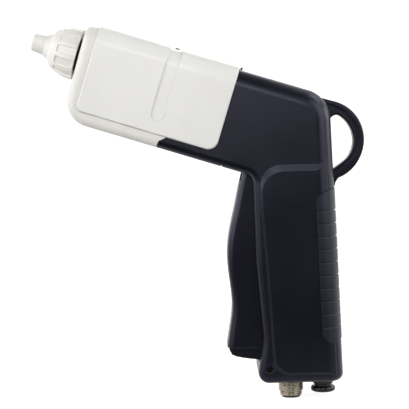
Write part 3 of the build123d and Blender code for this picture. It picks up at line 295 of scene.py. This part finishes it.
# %% [markdown]
# ## Smoky lamp lens
# The status lamp is acrylic, tinted so deeply that it looks brown-black while it is off. Its
# dome has a satin gloss, under a thin clear skin.

# %% Smoky acrylic
# The lighter edge colour is partly wear and partly a painted highlight.
lens_acrylic = moulded("smoky_acrylic", "463C34", "382F28", 0.34, 0.6, 0.001, edge_mm=0.1,
                       edge_wear_and_highlight="6B6057", Coat_Weight=0.1, Coat_Roughness=0.2)
print("made", lens_acrylic.name)

# %% [markdown]
# ## Plated and bare metals
# Metals are turned, plated or ground. Turning leaves rings round the part's own axis and
# grinding leaves scratches along it; both are stretched noise, which also varies the shine.

# %% Metals
def worked_metal(name, colour, tarnish, roughness, stretch, turn=(0, 0, 0), depth_mm=0.004,
                 line_mm=0.25, edge_mm=0.12):
    """Metal with fine tool marks drawn out along one direction, and a little tarnish."""
    finish, tree, shader = new_finish(name, Metallic=1.0)
    where = place_on(tree, stretch=stretch, turn=turn)
    lines = noise(tree, line_mm, where=where, detail=3.0, rough=0.7)
    spots = noise(tree, 3.5, detail=4.0, rough=0.65)
    edge_normal, on_edge = soft_edge(tree, edge_mm)
    stained = blend_colours(tree, spread(tree, spots, 0.0, 0.8, 0.45, 0.75), linear(colour),
                            linear(tarnish))
    bright = blend_colours(tree, spread(tree, on_edge, 0.0, 0.6), stained, linear(colour))
    tree.links.new(bright, shader.inputs["Base Color"])
    tree.links.new(spread(tree, lines, roughness - 0.08, roughness + 0.1, 0.3, 0.7),
                   shader.inputs["Roughness"])
    tree.links.new(relief(tree, lines, depth_mm, edge_normal), shader.inputs["Normal"])
    return finish


nickel_plate = worked_metal("nickel_plate", "BAB2A4", "857A69", 0.22, (0.08, 0.08, 1),
                            depth_mm=0.002)
gold_plate = worked_metal("gold_plate", "D9B45C", "A98838", 0.2, (1, 1, 0.15))
black_steel = worked_metal("blackened_steel", "2C2C2E", "1C1C1D", 0.38, (1, 0.15, 1))
zinc_steel = worked_metal("zinc_plated_steel", "B4B6B8", "8C8E90", 0.32, (1, 0.15, 1))
tungsten = worked_metal("ground_tungsten", "8E8F92", "6F7073", 0.3, (0.15, 1, 1),
                        turn=(0, radians(BARREL_SLOPE), 0))
milled_aluminium = worked_metal("milled_aluminium", "C4C6C8", "A9ABAD", 0.34, (1, 0.1, 1),
                                line_mm=0.6, depth_mm=0.008)
print("made", nickel_plate.name, gold_plate.name, zinc_steel.name)

# %% [markdown]
# ## Inner parts
# Inside are an insulator of white fluoropolymer, blue polyurethane tubes that let some light
# through, a green glass-epoxy board whose copper tracks stand up under the lacquer, and two
# sheathed leads.

# %% Insulator, tubes, board and leads
# Their lighter edge colours are partly wear and partly a painted highlight.
fluoropolymer = moulded("fluoropolymer", "E6E3DB", "DEDBD2", 0.5, 0.5, 0.004, edge_wear_and_highlight="F0EEE8",
                        Subsurface_Weight=0.2, Subsurface_Scale=0.001)
polyurethane = moulded("polyurethane_tube", "3D6FB4", "34639F", 0.28, 0.8, 0.003,
                       edge_wear_and_highlight="6F97CC", Transmission_Weight=0.25)
red_silicone = moulded("red_silicone", "A8332B", "952B24", 0.5, 0.5, 0.004, edge_wear_and_highlight="BE5A50")
grey_sheath = moulded("grey_sheath", "4A4B4E", "424346", 0.48, 0.4, 0.006, edge_wear_and_highlight="66676A")


def lacquered_board():
    """Green glass epoxy with a faint weave, and raised tracks under the lacquer."""
    finish, tree, shader = new_finish("lacquered_glass_epoxy", Coat_Weight=0.5, Coat_Roughness=0.2)
    where = place_on(tree, turn=(0, radians(-BARREL_SLOPE), 0))
    tracks = shade_node(tree, "TexBrick", {
        "Vector": where, "Scale": 1000 / 2.5, "Mortar Size": 0.08, "Brick Width": 1.6,
        "Row Height": 0.5,
    }, offset=0.37).outputs["Fac"]
    weave = shade_node(tree, "TexWave", {"Vector": where, "Scale": 1000 / 3.0,
                                         "Distortion": 1.5}).outputs["Fac"]
    green = blend_colours(tree, spread(tree, weave, 0.0, 0.35), linear("17603A"), linear("124C2F"))
    board = blend_colours(tree, tracks, green, linear("2E7F4C"))
    tree.links.new(board, shader.inputs["Base Color"])
    tree.links.new(spread(tree, noise(tree, 4.0), 0.28, 0.42), shader.inputs["Roughness"])
    tree.links.new(relief(tree, tracks, 0.035), shader.inputs["Normal"])
    return finish


board_lacquer = lacquered_board()
print("made", fluoropolymer.name, polyurethane.name, board_lacquer.name)

# %% [markdown]
# ## Giving each solid its finish
# A solid keeps its mesh; only the material in its slots changes.

# %% Dress the solids
FINISH_OF = {
    "front_housing": white_abs,
    "top_cover": cover_abs,
    "snout": black_acetal,
    "nozzle_tip": acetal,
    "nozzle_collar": acetal,
    "body_left": dark_nylon,
    "body_right": dark_nylon,
    "grip_insert": elastomer,
    "hanging_loop": loop_nylon,
    "trigger_shell": trigger_nylon,
    "trigger_lever": trigger_nylon,
    "inlet_fitting": black_acetal,
    "release_collar": black_acetal,
    "connector_shell": nickel_plate,
    "connector_nut": nickel_plate,
    "connector_insert": polyamide,
    "connector_pins": gold_plate,
    "connector_gasket": nitrile,
    "nozzle_seal": nitrile,
    "tube_seal": nitrile,
    "status_lamp": lens_acrylic,
    "case_screws": black_steel,
    "base_screw": black_steel,
    "pivot_pin": zinc_steel,
    "return_spring": zinc_steel,
    "valve_stem": zinc_steel,
    "valve_block": milled_aluminium,
    "electrode_holder": fluoropolymer,
    "electrode_needle": tungsten,
    "hv_module": potting,
    "hv_lead": red_silicone,
    "control_board": board_lacquer,
    "board_components": component_epoxy,
    "micro_switch": component_epoxy,
    "switch_plunger": polyamide,
    "power_lead": grey_sheath,
    "lower_air_tube": polyurethane,
    "upper_air_tube": polyurethane,
}


def dress(obj, finish):
    """One finish over the whole of an object."""
    obj.data.materials.clear()
    obj.data.materials.append(finish)


for name, finish in FINISH_OF.items():
    dress(nodes[name], finish)
print("dressed", len(FINISH_OF), "of", len(nodes))

# %% [markdown]
# ## Turned pieces
# The nozzle, the collar, the connector and the hose fitting are all round things. On a lathe
# such a part is one profile swept round an axis. Here a ring of points is drawn upright over
# the origin and pulled out step by step along that profile; at the end the piece is tipped
# over and set in its place. It could be spun from a drawn profile too, but pulling a ring
# keeps every face in tidy rows, which makes the flutes below easy to select.

# %% Helpers for turned pieces
FINE_RING, WIDE_RING, LENS_RING, PIN_RING = 96, 72, 40, 24


def only(obj):
    """Selects one object alone and makes it the active one."""
    bpy.ops.object.select_all(action="DESELECT")
    obj.select_set(True)
    bpy.context.view_layer.objects.active = obj


def face_outwards():
    """Turns all faces of the piece in edit mode outwards, and leaves edit mode."""
    bpy.ops.mesh.select_all(action="SELECT")
    bpy.ops.mesh.normals_make_consistent(inside=False)
    bpy.ops.object.mode_set(mode="OBJECT")


def turned_piece(name, profile, points):
    """A ring pulled along a profile of radii and heights in mm; ending where it began closes it."""
    bpy.ops.object.select_all(action="DESELECT")
    radius, height = profile[0]
    bpy.ops.mesh.primitive_circle_add(vertices=points, radius=radius * MM,
                                      location=(0, 0, height * MM))
    piece = bpy.context.object
    piece.name = name
    bpy.ops.object.transform_apply(location=True, rotation=True, scale=True)
    bpy.ops.object.mode_set(mode="EDIT")
    bpy.ops.mesh.select_mode(type="VERT")
    bpy.ops.mesh.select_all(action="SELECT")
    for (last_r, last_h), (next_r, next_h) in zip(profile, profile[1:]):
        rise = (next_h - last_h) * MM
        bpy.ops.mesh.extrude_region_move(TRANSFORM_OT_translate={"value": (0, 0, rise)})
        grow = next_r / last_r
        bpy.ops.transform.resize(value=(grow, grow, 1), center_override=(0, 0, 0))
    bpy.ops.mesh.select_all(action="SELECT")
    bpy.ops.mesh.remove_doubles(threshold=0.002 * MM)
    bpy.ops.mesh.fill_holes(sides=0)
    face_outwards()
    return piece


def pick_faces(piece, wanted):
    """Selects the faces whose middle, as radius, angle in degrees and height in mm, is wanted."""
    only(piece)
    bpy.ops.object.mode_set(mode="EDIT")
    bpy.ops.mesh.select_all(action="DESELECT")
    bpy.ops.object.mode_set(mode="OBJECT")
    count = 0
    for face in piece.data.polygons:
        x, y, z = face.center / MM
        face.select = wanted(hypot(x, y), degrees(atan2(y, x)) % 360, z)
        count += face.select
    bpy.ops.object.mode_set(mode="EDIT")
    bpy.ops.mesh.select_mode(type="FACE")
    return count


def smooth(piece, below=40):
    """Shades smooth across every edge where faces meet at less than this many degrees."""
    only(piece)
    bpy.ops.object.shade_smooth_by_angle(angle=radians(below))


def round_edges(piece, width_mm, segments=2, sharper_than=28):
    """Bevels the sharp edges, applies it and smooths what is left."""
    only(piece)
    rounding = piece.modifiers.new("rounding", "BEVEL")
    rounding.width = width_mm * MM
    rounding.segments = segments
    rounding.limit_method = "ANGLE"
    rounding.angle_limit = radians(sharper_than)
    bpy.ops.object.modifier_apply(modifier=rounding.name)
    smooth(piece)


def set_down(piece, place_mm, tip=0.0):
    """Tips an upright piece over towards +X, moves it and leaves its object at the origin."""
    only(piece)
    piece.rotation_euler = (0, tip, 0)
    piece.location = Vector(place_mm) * MM
    bpy.ops.object.transform_apply(location=True, rotation=True, scale=True)


def stand_in(piece, finish, body, *names):
    """Dresses a finished piece, lets it ride on its body and stand for its solids."""
    dress(piece, finish)
    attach(piece, body)
    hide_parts(*names)
    print(piece.name, len(piece.data.polygons), "faces, for", ", ".join(names))


# %% [markdown]
# ## Nozzle collar
# The collar is the part that fingers turn: a cone that widens to a rim with twelve flutes. It is
# pulled as one ring of 96 points, so that five faces out of eight make a flute. The picked
# faces are pushed in towards the axis, and then every edge is rounded, as a mould leaves it.

# %% Nozzle collar
NOSE = (-112.5, 0, 118.5)
TIP_OVER = radians(90 + BARREL_SLOPE)
FACE_TURN = 360 / FINE_RING
FLUTES = 12
FACES_A_FLUTE = 5
FLUTE_SHIFT = 3 * FACE_TURN
FLUTE_FROM, FLUTE_TO = -11.6, -1.2
FLUTE_OUTSIDE = 11.0
FLUTE_FLOOR = 0.935
collar = turned_piece("fluted_collar", [
    (5.5, -19.1), (5.9, -19.1), (6.5, -17.6), (7.3, -16.2), (8.4, -15.6), (9.4, -15.0),
    (10.3, -14.1), (11.35, -11.9), (11.5, -11.6), (13.0, -8.4), (13.4, -6.5), (13.65, -3.6),
    (13.8, -1.2), (9.2, -1.2), (9.2, -12.4), (7.7, -12.4), (7.7, -14.6), (5.5, -14.6),
    (5.5, -19.1),
], points=FINE_RING)


def in_flute(radius, angle, along):
    """True on the outside of the collar, for five faces in a row out of every eight."""
    across = (angle + FLUTE_SHIFT) % (360 / FLUTES)
    outside = radius > FLUTE_OUTSIDE and FLUTE_FROM < along < FLUTE_TO
    return outside and across < FACES_A_FLUTE * FACE_TURN


picked = pick_faces(collar, in_flute)
bpy.ops.mesh.extrude_region_move(TRANSFORM_OT_translate={"value": (0, 0, 0)})
bpy.ops.transform.resize(value=(FLUTE_FLOOR, FLUTE_FLOOR, 1), center_override=(0, 0, 0))
face_outwards()
round_edges(collar, 0.34)
set_down(collar, NOSE, TIP_OVER)
stand_in(collar, acetal, "collar", "nozzle_collar")
print("flute faces:", picked)

# %% [markdown]
# ## Nozzle tip
# The tip is a plain tapered tube with a well rounded lip. Its flange is hidden in the collar,
# and the bore opens inwards, where the electrode sits. A few rings near the lip give it its round.

# %% Nozzle tip
tip = turned_piece("tapered_tip", [
    (2.9, -26.2), (3.9, -26.2), (4.5, -25.95), (4.85, -25.4), (4.95, -24.6), (5.3, -19.3),
    (5.4, -17.0), (5.4, -14.5), (7.5, -14.5), (7.5, -13.1), (4.2, -13.1), (2.6, -19.0),
    (2.6, -25.9), (2.9, -26.2),
], points=WIDE_RING)
round_edges(tip, 0.15)
set_down(tip, NOSE, TIP_OVER)
stand_in(tip, acetal, "nozzle", "nozzle_tip")

# %% [markdown]
# ## Snout thread
# Behind the collar a dark gap shows the thread that the collar runs on. The snout is pulled as
# one tube, with a ridge every two millimetres, and its flange lies inside the housing.

# %% Snout
THREAD_PITCH = 2.0
RIDGES = 5
FIRST_RIDGE = -11.0
ROOT_R, CREST_R = 8.4, 9.0
thread = []
for number in range(RIDGES):
    ridge = FIRST_RIDGE + number * THREAD_PITCH
    thread += [(ROOT_R, ridge - 0.6), (CREST_R, ridge - 0.25), (CREST_R, ridge + 0.25),
               (ROOT_R, ridge + 0.6)]
snout = turned_piece("threaded_snout", [
    (4.2, -12.2), (ROOT_R, -12.2), *thread, (ROOT_R, -0.8), (CREST_R, -0.8), (CREST_R, 5.2),
    (11.8, 5.2), (11.8, 7.2), (7.0, 7.2), (7.0, 15.0), (3.2, 17.0), (2.0, 17.0), (2.0, 26.0),
    (1.2, 26.0), (1.2, 14.0), (4.2, 14.0), (4.2, -12.2),
], points=WIDE_RING)
round_edges(snout, 0.12)
set_down(snout, NOSE, TIP_OVER)
stand_in(snout, black_acetal, "frame", "snout")

# %% [markdown]
# ## Plug connector
# The round socket under the grip is turned brass with a nickel plate: a wide ring above and a
# 12 mm thread below, both cut all round with fine grooves. A loop works out the profile of the
# grooves, one every 0.8 mm, so that they need no drawing one by one.

# %% Connector shell
SOCKET_X = -4.6
GROOVE_STEP = 0.8
RING_R, RING_FLOOR, RING_GROOVES = 6.65, 6.38, 6
SCREW_R, SCREW_FLOOR, SCREW_GROOVES = 6.0, 5.68, 3
ring_profile = [(RING_R, -58.1)]
for number in range(RING_GROOVES):
    top = -58.35 - number * GROOVE_STEP
    ring_profile += [(RING_R, top), (RING_FLOOR, top - 0.16), (RING_FLOOR, top - 0.3),
                     (RING_R, top - 0.46)]
screw_profile = [(SCREW_R, -63.5)]
for number in range(SCREW_GROOVES):
    top = -63.6 - number * GROOVE_STEP
    screw_profile += [(SCREW_R, top), (SCREW_FLOOR, top - 0.25), (SCREW_FLOOR, top - 0.35),
                      (SCREW_R, top - 0.6)]
shell = turned_piece("connector_ring", [
    (4.55, -57.8), (6.35, -57.8), *ring_profile, (RING_R, -63.4), *screw_profile,
    (5.75, -66.1), (4.95, -66.1), (4.95, -58.3), (4.55, -58.3), (4.55, -57.8),
], points=FINE_RING)
round_edges(shell, 0.05)
set_down(shell, (SOCKET_X, 0, 0))
stand_in(shell, nickel_plate, "frame", "connector_shell")

# %% [markdown]
# ## Contact pins
# Four gold-plated pins stand in the socket. Their ends are rounded so that they find their
# way into the plug. One is pulled and the other three are copies, each with its own mesh.

# %% Contact pins
PINS = 4
PIN_CIRCLE = 3.5
first_pin = turned_piece("contact_pin_1", [
    (0.08, -65.6), (0.22, -65.55), (0.38, -65.4), (0.47, -65.15), (0.5, -64.8), (0.5, -57.8),
], points=PIN_RING)
smooth(first_pin)
pins = [first_pin]
for number in range(2, PINS + 1):
    pin = first_pin.copy()
    pin.data = first_pin.data.copy()
    pin.name = f"contact_pin_{number}"
    bpy.context.scene.collection.objects.link(pin)
    pins.append(pin)
for number, pin in enumerate(pins):
    way = number * 2 * pi / PINS
    set_down(pin, (SOCKET_X + PIN_CIRCLE * cos(way), PIN_CIRCLE * sin(way), 0))
    dress(pin, gold_plate)
    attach(pin, "frame")
    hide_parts("connector_pins")
print("pins:", len(pins))

# %% [markdown]
# ## Push-in hose fitting
# A hose is pushed up into this fitting and held by a collet; pressing the black collar lets it
# go. The collar is a fat, well rounded ring that catches the light, on a plain sleeve.

# %% Release collar and fitting
HOSE_X = 12.7
release = turned_piece("release_ring", [
    (4.05, -64.2), (4.35, -64.6), (4.9, -64.7), (5.5, -64.65), (6.1, -64.35), (6.5, -63.85),
    (6.6, -63.3), (6.55, -62.6), (6.3, -62.0), (5.9, -61.7), (5.3, -61.6), (4.67, -61.6),
    (4.67, -53.0), (4.05, -53.0), (4.05, -64.2),
], points=WIDE_RING)
smooth(release, below=35)
set_down(release, (HOSE_X, 0, 0))
stand_in(release, black_acetal, "release", "release_collar")
fitting = turned_piece("hose_fitting", [
    (4.75, -60.4), (5.2, -60.4), (5.5, -60.1), (5.5, -54.4), (6.0, -54.4), (6.0, -51.9),
    (5.5, -51.9), (5.5, -46.4), (3.4, -44.2), (2.0, -44.2), (2.0, -37.0), (1.2, -37.0),
    (1.2, -49.0), (4.75, -49.0), (4.75, -60.4),
], points=WIDE_RING)
round_edges(fitting, 0.1)
set_down(fitting, (HOSE_X, 0, 0))
stand_in(fitting, black_acetal, "frame", "inlet_fitting")

# %% [markdown]
# ## Status lamp
# A small round lens looks out of the band on top of the barrel. It is pulled as a dome: each
# ring is a little higher and narrower than the one before, as along a circle.

# %% Status lamp
LAMP_ALONG = 48.6
LENS_R, LENS_EDGE, LENS_RISE = 1.6, 17.6, 1.0
DOME_STEPS = 10
tilt = radians(BARREL_SLOPE)
steps = [step * pi / 2 / DOME_STEPS for step in range(DOME_STEPS)]
dome = [(LENS_R * cos(way), LENS_EDGE + LENS_RISE * sin(way)) for way in steps]
lamp_lens = turned_piece("lamp_lens", [(1.2, 12.4), (1.2, 15.8), (LENS_R, 15.8), *dome],
                         points=LENS_RING)
smooth(lamp_lens)
lamp_foot = (NOSE[0] + LAMP_ALONG * cos(tilt), 0, NOSE[2] - LAMP_ALONG * sin(tilt))
set_down(lamp_lens, lamp_foot, tilt)
stand_in(lamp_lens, lens_acrylic, "frame", "status_lamp")

# %% [markdown]
# ## Return spring
# The spring that shuts the valve is wound from 0.7 mm wire. A ring of points, as wide as the
# wire, is carried round the upright axis by the Screw modifier, three turns with a steady rise.
# The block holds the upper end in the real valve, but here the whole coil rides on the stem.

# %% Return spring
COIL_R, WIRE_R = 3.1, 0.35
COIL_FOOT, COIL_TOP = 65.0, 70.0
COIL_TURNS = 3
STEPS_A_TURN = 32
WIRE_POINTS = 12
END_GAP = 0.05
ends = WIRE_R + END_GAP
bpy.ops.object.select_all(action="DESELECT")
bpy.ops.mesh.primitive_circle_add(vertices=WIRE_POINTS, radius=WIRE_R * MM,
                                  rotation=(pi / 2, 0, 0),
                                  location=(COIL_R * MM, 0, (COIL_FOOT + ends) * MM))
spring = bpy.context.object
spring.name = "valve_spring"
bpy.ops.object.transform_apply(location=True, rotation=True, scale=True)
winding = spring.modifiers.new("winding", "SCREW")
winding.axis = "Z"
winding.iterations = COIL_TURNS
winding.screw_offset = (COIL_TOP - COIL_FOOT - 2 * ends) / COIL_TURNS * MM
winding.steps = winding.render_steps = STEPS_A_TURN
bpy.ops.object.modifier_apply(modifier=winding.name)
bpy.ops.object.mode_set(mode="EDIT")
bpy.ops.mesh.select_mode(type="VERT")
bpy.ops.mesh.select_all(action="SELECT")
bpy.ops.mesh.fill_holes(sides=0)
face_outwards()
smooth(spring)
stand_in(spring, zinc_steel, "valve_stem", "return_spring")
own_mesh(spring)

# %% [markdown]
# ## Studio
# The gun stands on a pale floor in front of a white backdrop, far enough away that one can
# walk round the gun. The backdrop glows only where the camera, a reflection or a look through
# glass meets it, so it puts no light on the gun. The floor has the same help, but keeps the
# soft shadow where the gun stands. A black card on the floor in front is seen by reflections
# alone, and keeps the low, flat sides dark.

# %% Floor and backdrop
FLOOR_GAP = 0.0002
FLOOR_Z = cad_box[0].z - FLOOR_GAP
STUDIO = 6.0
BACKDROP_Y = 1.8
CARD_Y, CARD_SIZE = -0.88, 1.6
FLAT, UPRIGHT = (0, 0, 0), (pi / 2, 0, 0)
EVERYWHERE = -9.0
BEHIND_THE_GUN = 0.0
NEAR, AWAY = 0.2, 0.9


def studio_white(name, colour, glow_near, glow_away, mirrored_from=EVERYWHERE):
    """A dull paint that glows where the camera meets it, and where a reflection does far back."""
    finish = bpy.data.materials.new(name)
    finish.use_nodes = True
    tree = finish.node_tree
    tree.nodes.clear()
    path = shade_node(tree, "LightPath").outputs
    place = shade_node(tree, "NewGeometry").outputs["Position"]
    depth = shade_node(tree, "SeparateXYZ", {"Vector": place}).outputs["Y"]
    far = spread(tree, depth, 0.0, 1.0, mirrored_from - 0.1, mirrored_from + 0.1)
    bounced = shade_node(tree, "Math", {0: path["Is Glossy Ray"], 1: path["Is Transmission Ray"]},
                         operation="MAXIMUM").outputs[0]
    bounced = shade_node(tree, "Math", {0: bounced, 1: far}, operation="MULTIPLY").outputs[0]
    seen = shade_node(tree, "Math", {0: path["Is Camera Ray"], 1: bounced},
                      operation="MAXIMUM").outputs[0]
    away = shade_node(tree, "VectorMath", {0: place}, operation="LENGTH").outputs["Value"]
    glow = spread(tree, away, glow_near, glow_away, NEAR, AWAY)
    strength = shade_node(tree, "Math", {0: seen, 1: glow}, operation="MULTIPLY").outputs[0]
    paint = shade_node(tree, "BsdfDiffuse", {"Color": linear(colour)})
    light = shade_node(tree, "Emission", {"Color": (1, 1, 1, 1), "Strength": strength})
    both = shade_node(tree, "AddShader", {0: paint.outputs[0], 1: light.outputs[0]})
    shade_node(tree, "OutputMaterial", {"Surface": both.outputs[0]})
    return finish


def stage_sheet(name, size, place, lie, finish):
    """A square sheet for the studio, dressed in one finish and tied to no body of the gun."""
    bpy.ops.object.select_all(action="DESELECT")
    bpy.ops.mesh.primitive_plane_add(size=size, location=place, rotation=lie)
    sheet = bpy.context.object
    sheet.name = name
    dress(sheet, finish)
    return sheet


flat_black = new_finish("black_card", Base_Color=linear("050505"), Roughness=0.9)[0]
stage_sheet("floor", STUDIO, (0, BACKDROP_Y - STUDIO / 2, FLOOR_Z), FLAT,
            studio_white("floor_paint", "A9A9A7", 0.85, 1.0, mirrored_from=BEHIND_THE_GUN))
stage_sheet("backdrop", STUDIO * 2, (0, BACKDROP_Y, 0), UPRIGHT,
            studio_white("backdrop_paint", "F4F4F3", 1.0, 1.0))
card = stage_sheet("dark_card", CARD_SIZE, (0, CARD_Y, FLOOR_Z + MM), FLAT, flat_black)
card.visible_camera = False
card.visible_diffuse = False
card.visible_shadow = False
print("floor at", round(FLOOR_Z / MM, 1), "mm")

# %% [markdown]
# ## Light
# Wide soft lamps stand on both sides, and small ones in front, beside and behind. The side and
# rim lamps draw the bright lines along the rounded edges, and the small lamp in front makes the
# flat dark sides a little lighter at the top. The sky is a plain dim grey, so that nothing
# turns black, but the camera sees it white all round.

# %% Lamps and sky
def softbox(name, place, size, power):
    """A square lamp that faces the middle of the gun; place and size in metres, power in watts."""
    data = bpy.data.lights.new(name, "AREA")
    data.shape = "SQUARE"
    data.size = size
    data.energy = power
    lamp = bpy.data.objects.new(name, data)
    lamp.location = place
    lamp.rotation_euler = (LOOK_AT - Vector(place)).to_track_quat("-Z", "Y").to_euler()
    bpy.context.scene.collection.objects.link(lamp)


LAMPS = [
    ("lamp_front", (-0.05, -0.88, 0.34), 0.3, 1.75),
    ("lamp_left", (-0.76, -0.60, 0.36), 0.75, 5.4),
    ("lamp_right", (0.70, -0.58, 0.36), 0.7, 4.0),
    ("rim_left", (-0.92, 0.05, 0.33), 0.4, 2.6),
    ("rim_right", (0.55, 0.02, 0.75), 0.4, 1.8),
    ("side_right", (0.90, 0.10, 0.28), 0.4, 2.4),
    ("lamp_behind", (-0.05, 0.55, 0.36), 0.35, 1.7),
]
for name, place, size, power in LAMPS:
    softbox(name, place, size, power)
SKY_DIM, SKY_SEEN = 0.035, 1.0
sky = bpy.data.worlds.new("sky")
bpy.context.scene.world = sky
sky.use_nodes = True
tree = sky.node_tree
background = tree.nodes["Background"]
background.inputs["Color"].default_value = (1, 1, 1, 1)
to_camera = shade_node(tree, "LightPath").outputs["Is Camera Ray"]
tree.links.new(spread(tree, to_camera, SKY_DIM, SKY_SEEN), background.inputs["Strength"])
bpy.context.scene.view_settings.view_transform = "Standard"
print("lamps:", len(bpy.data.lights))
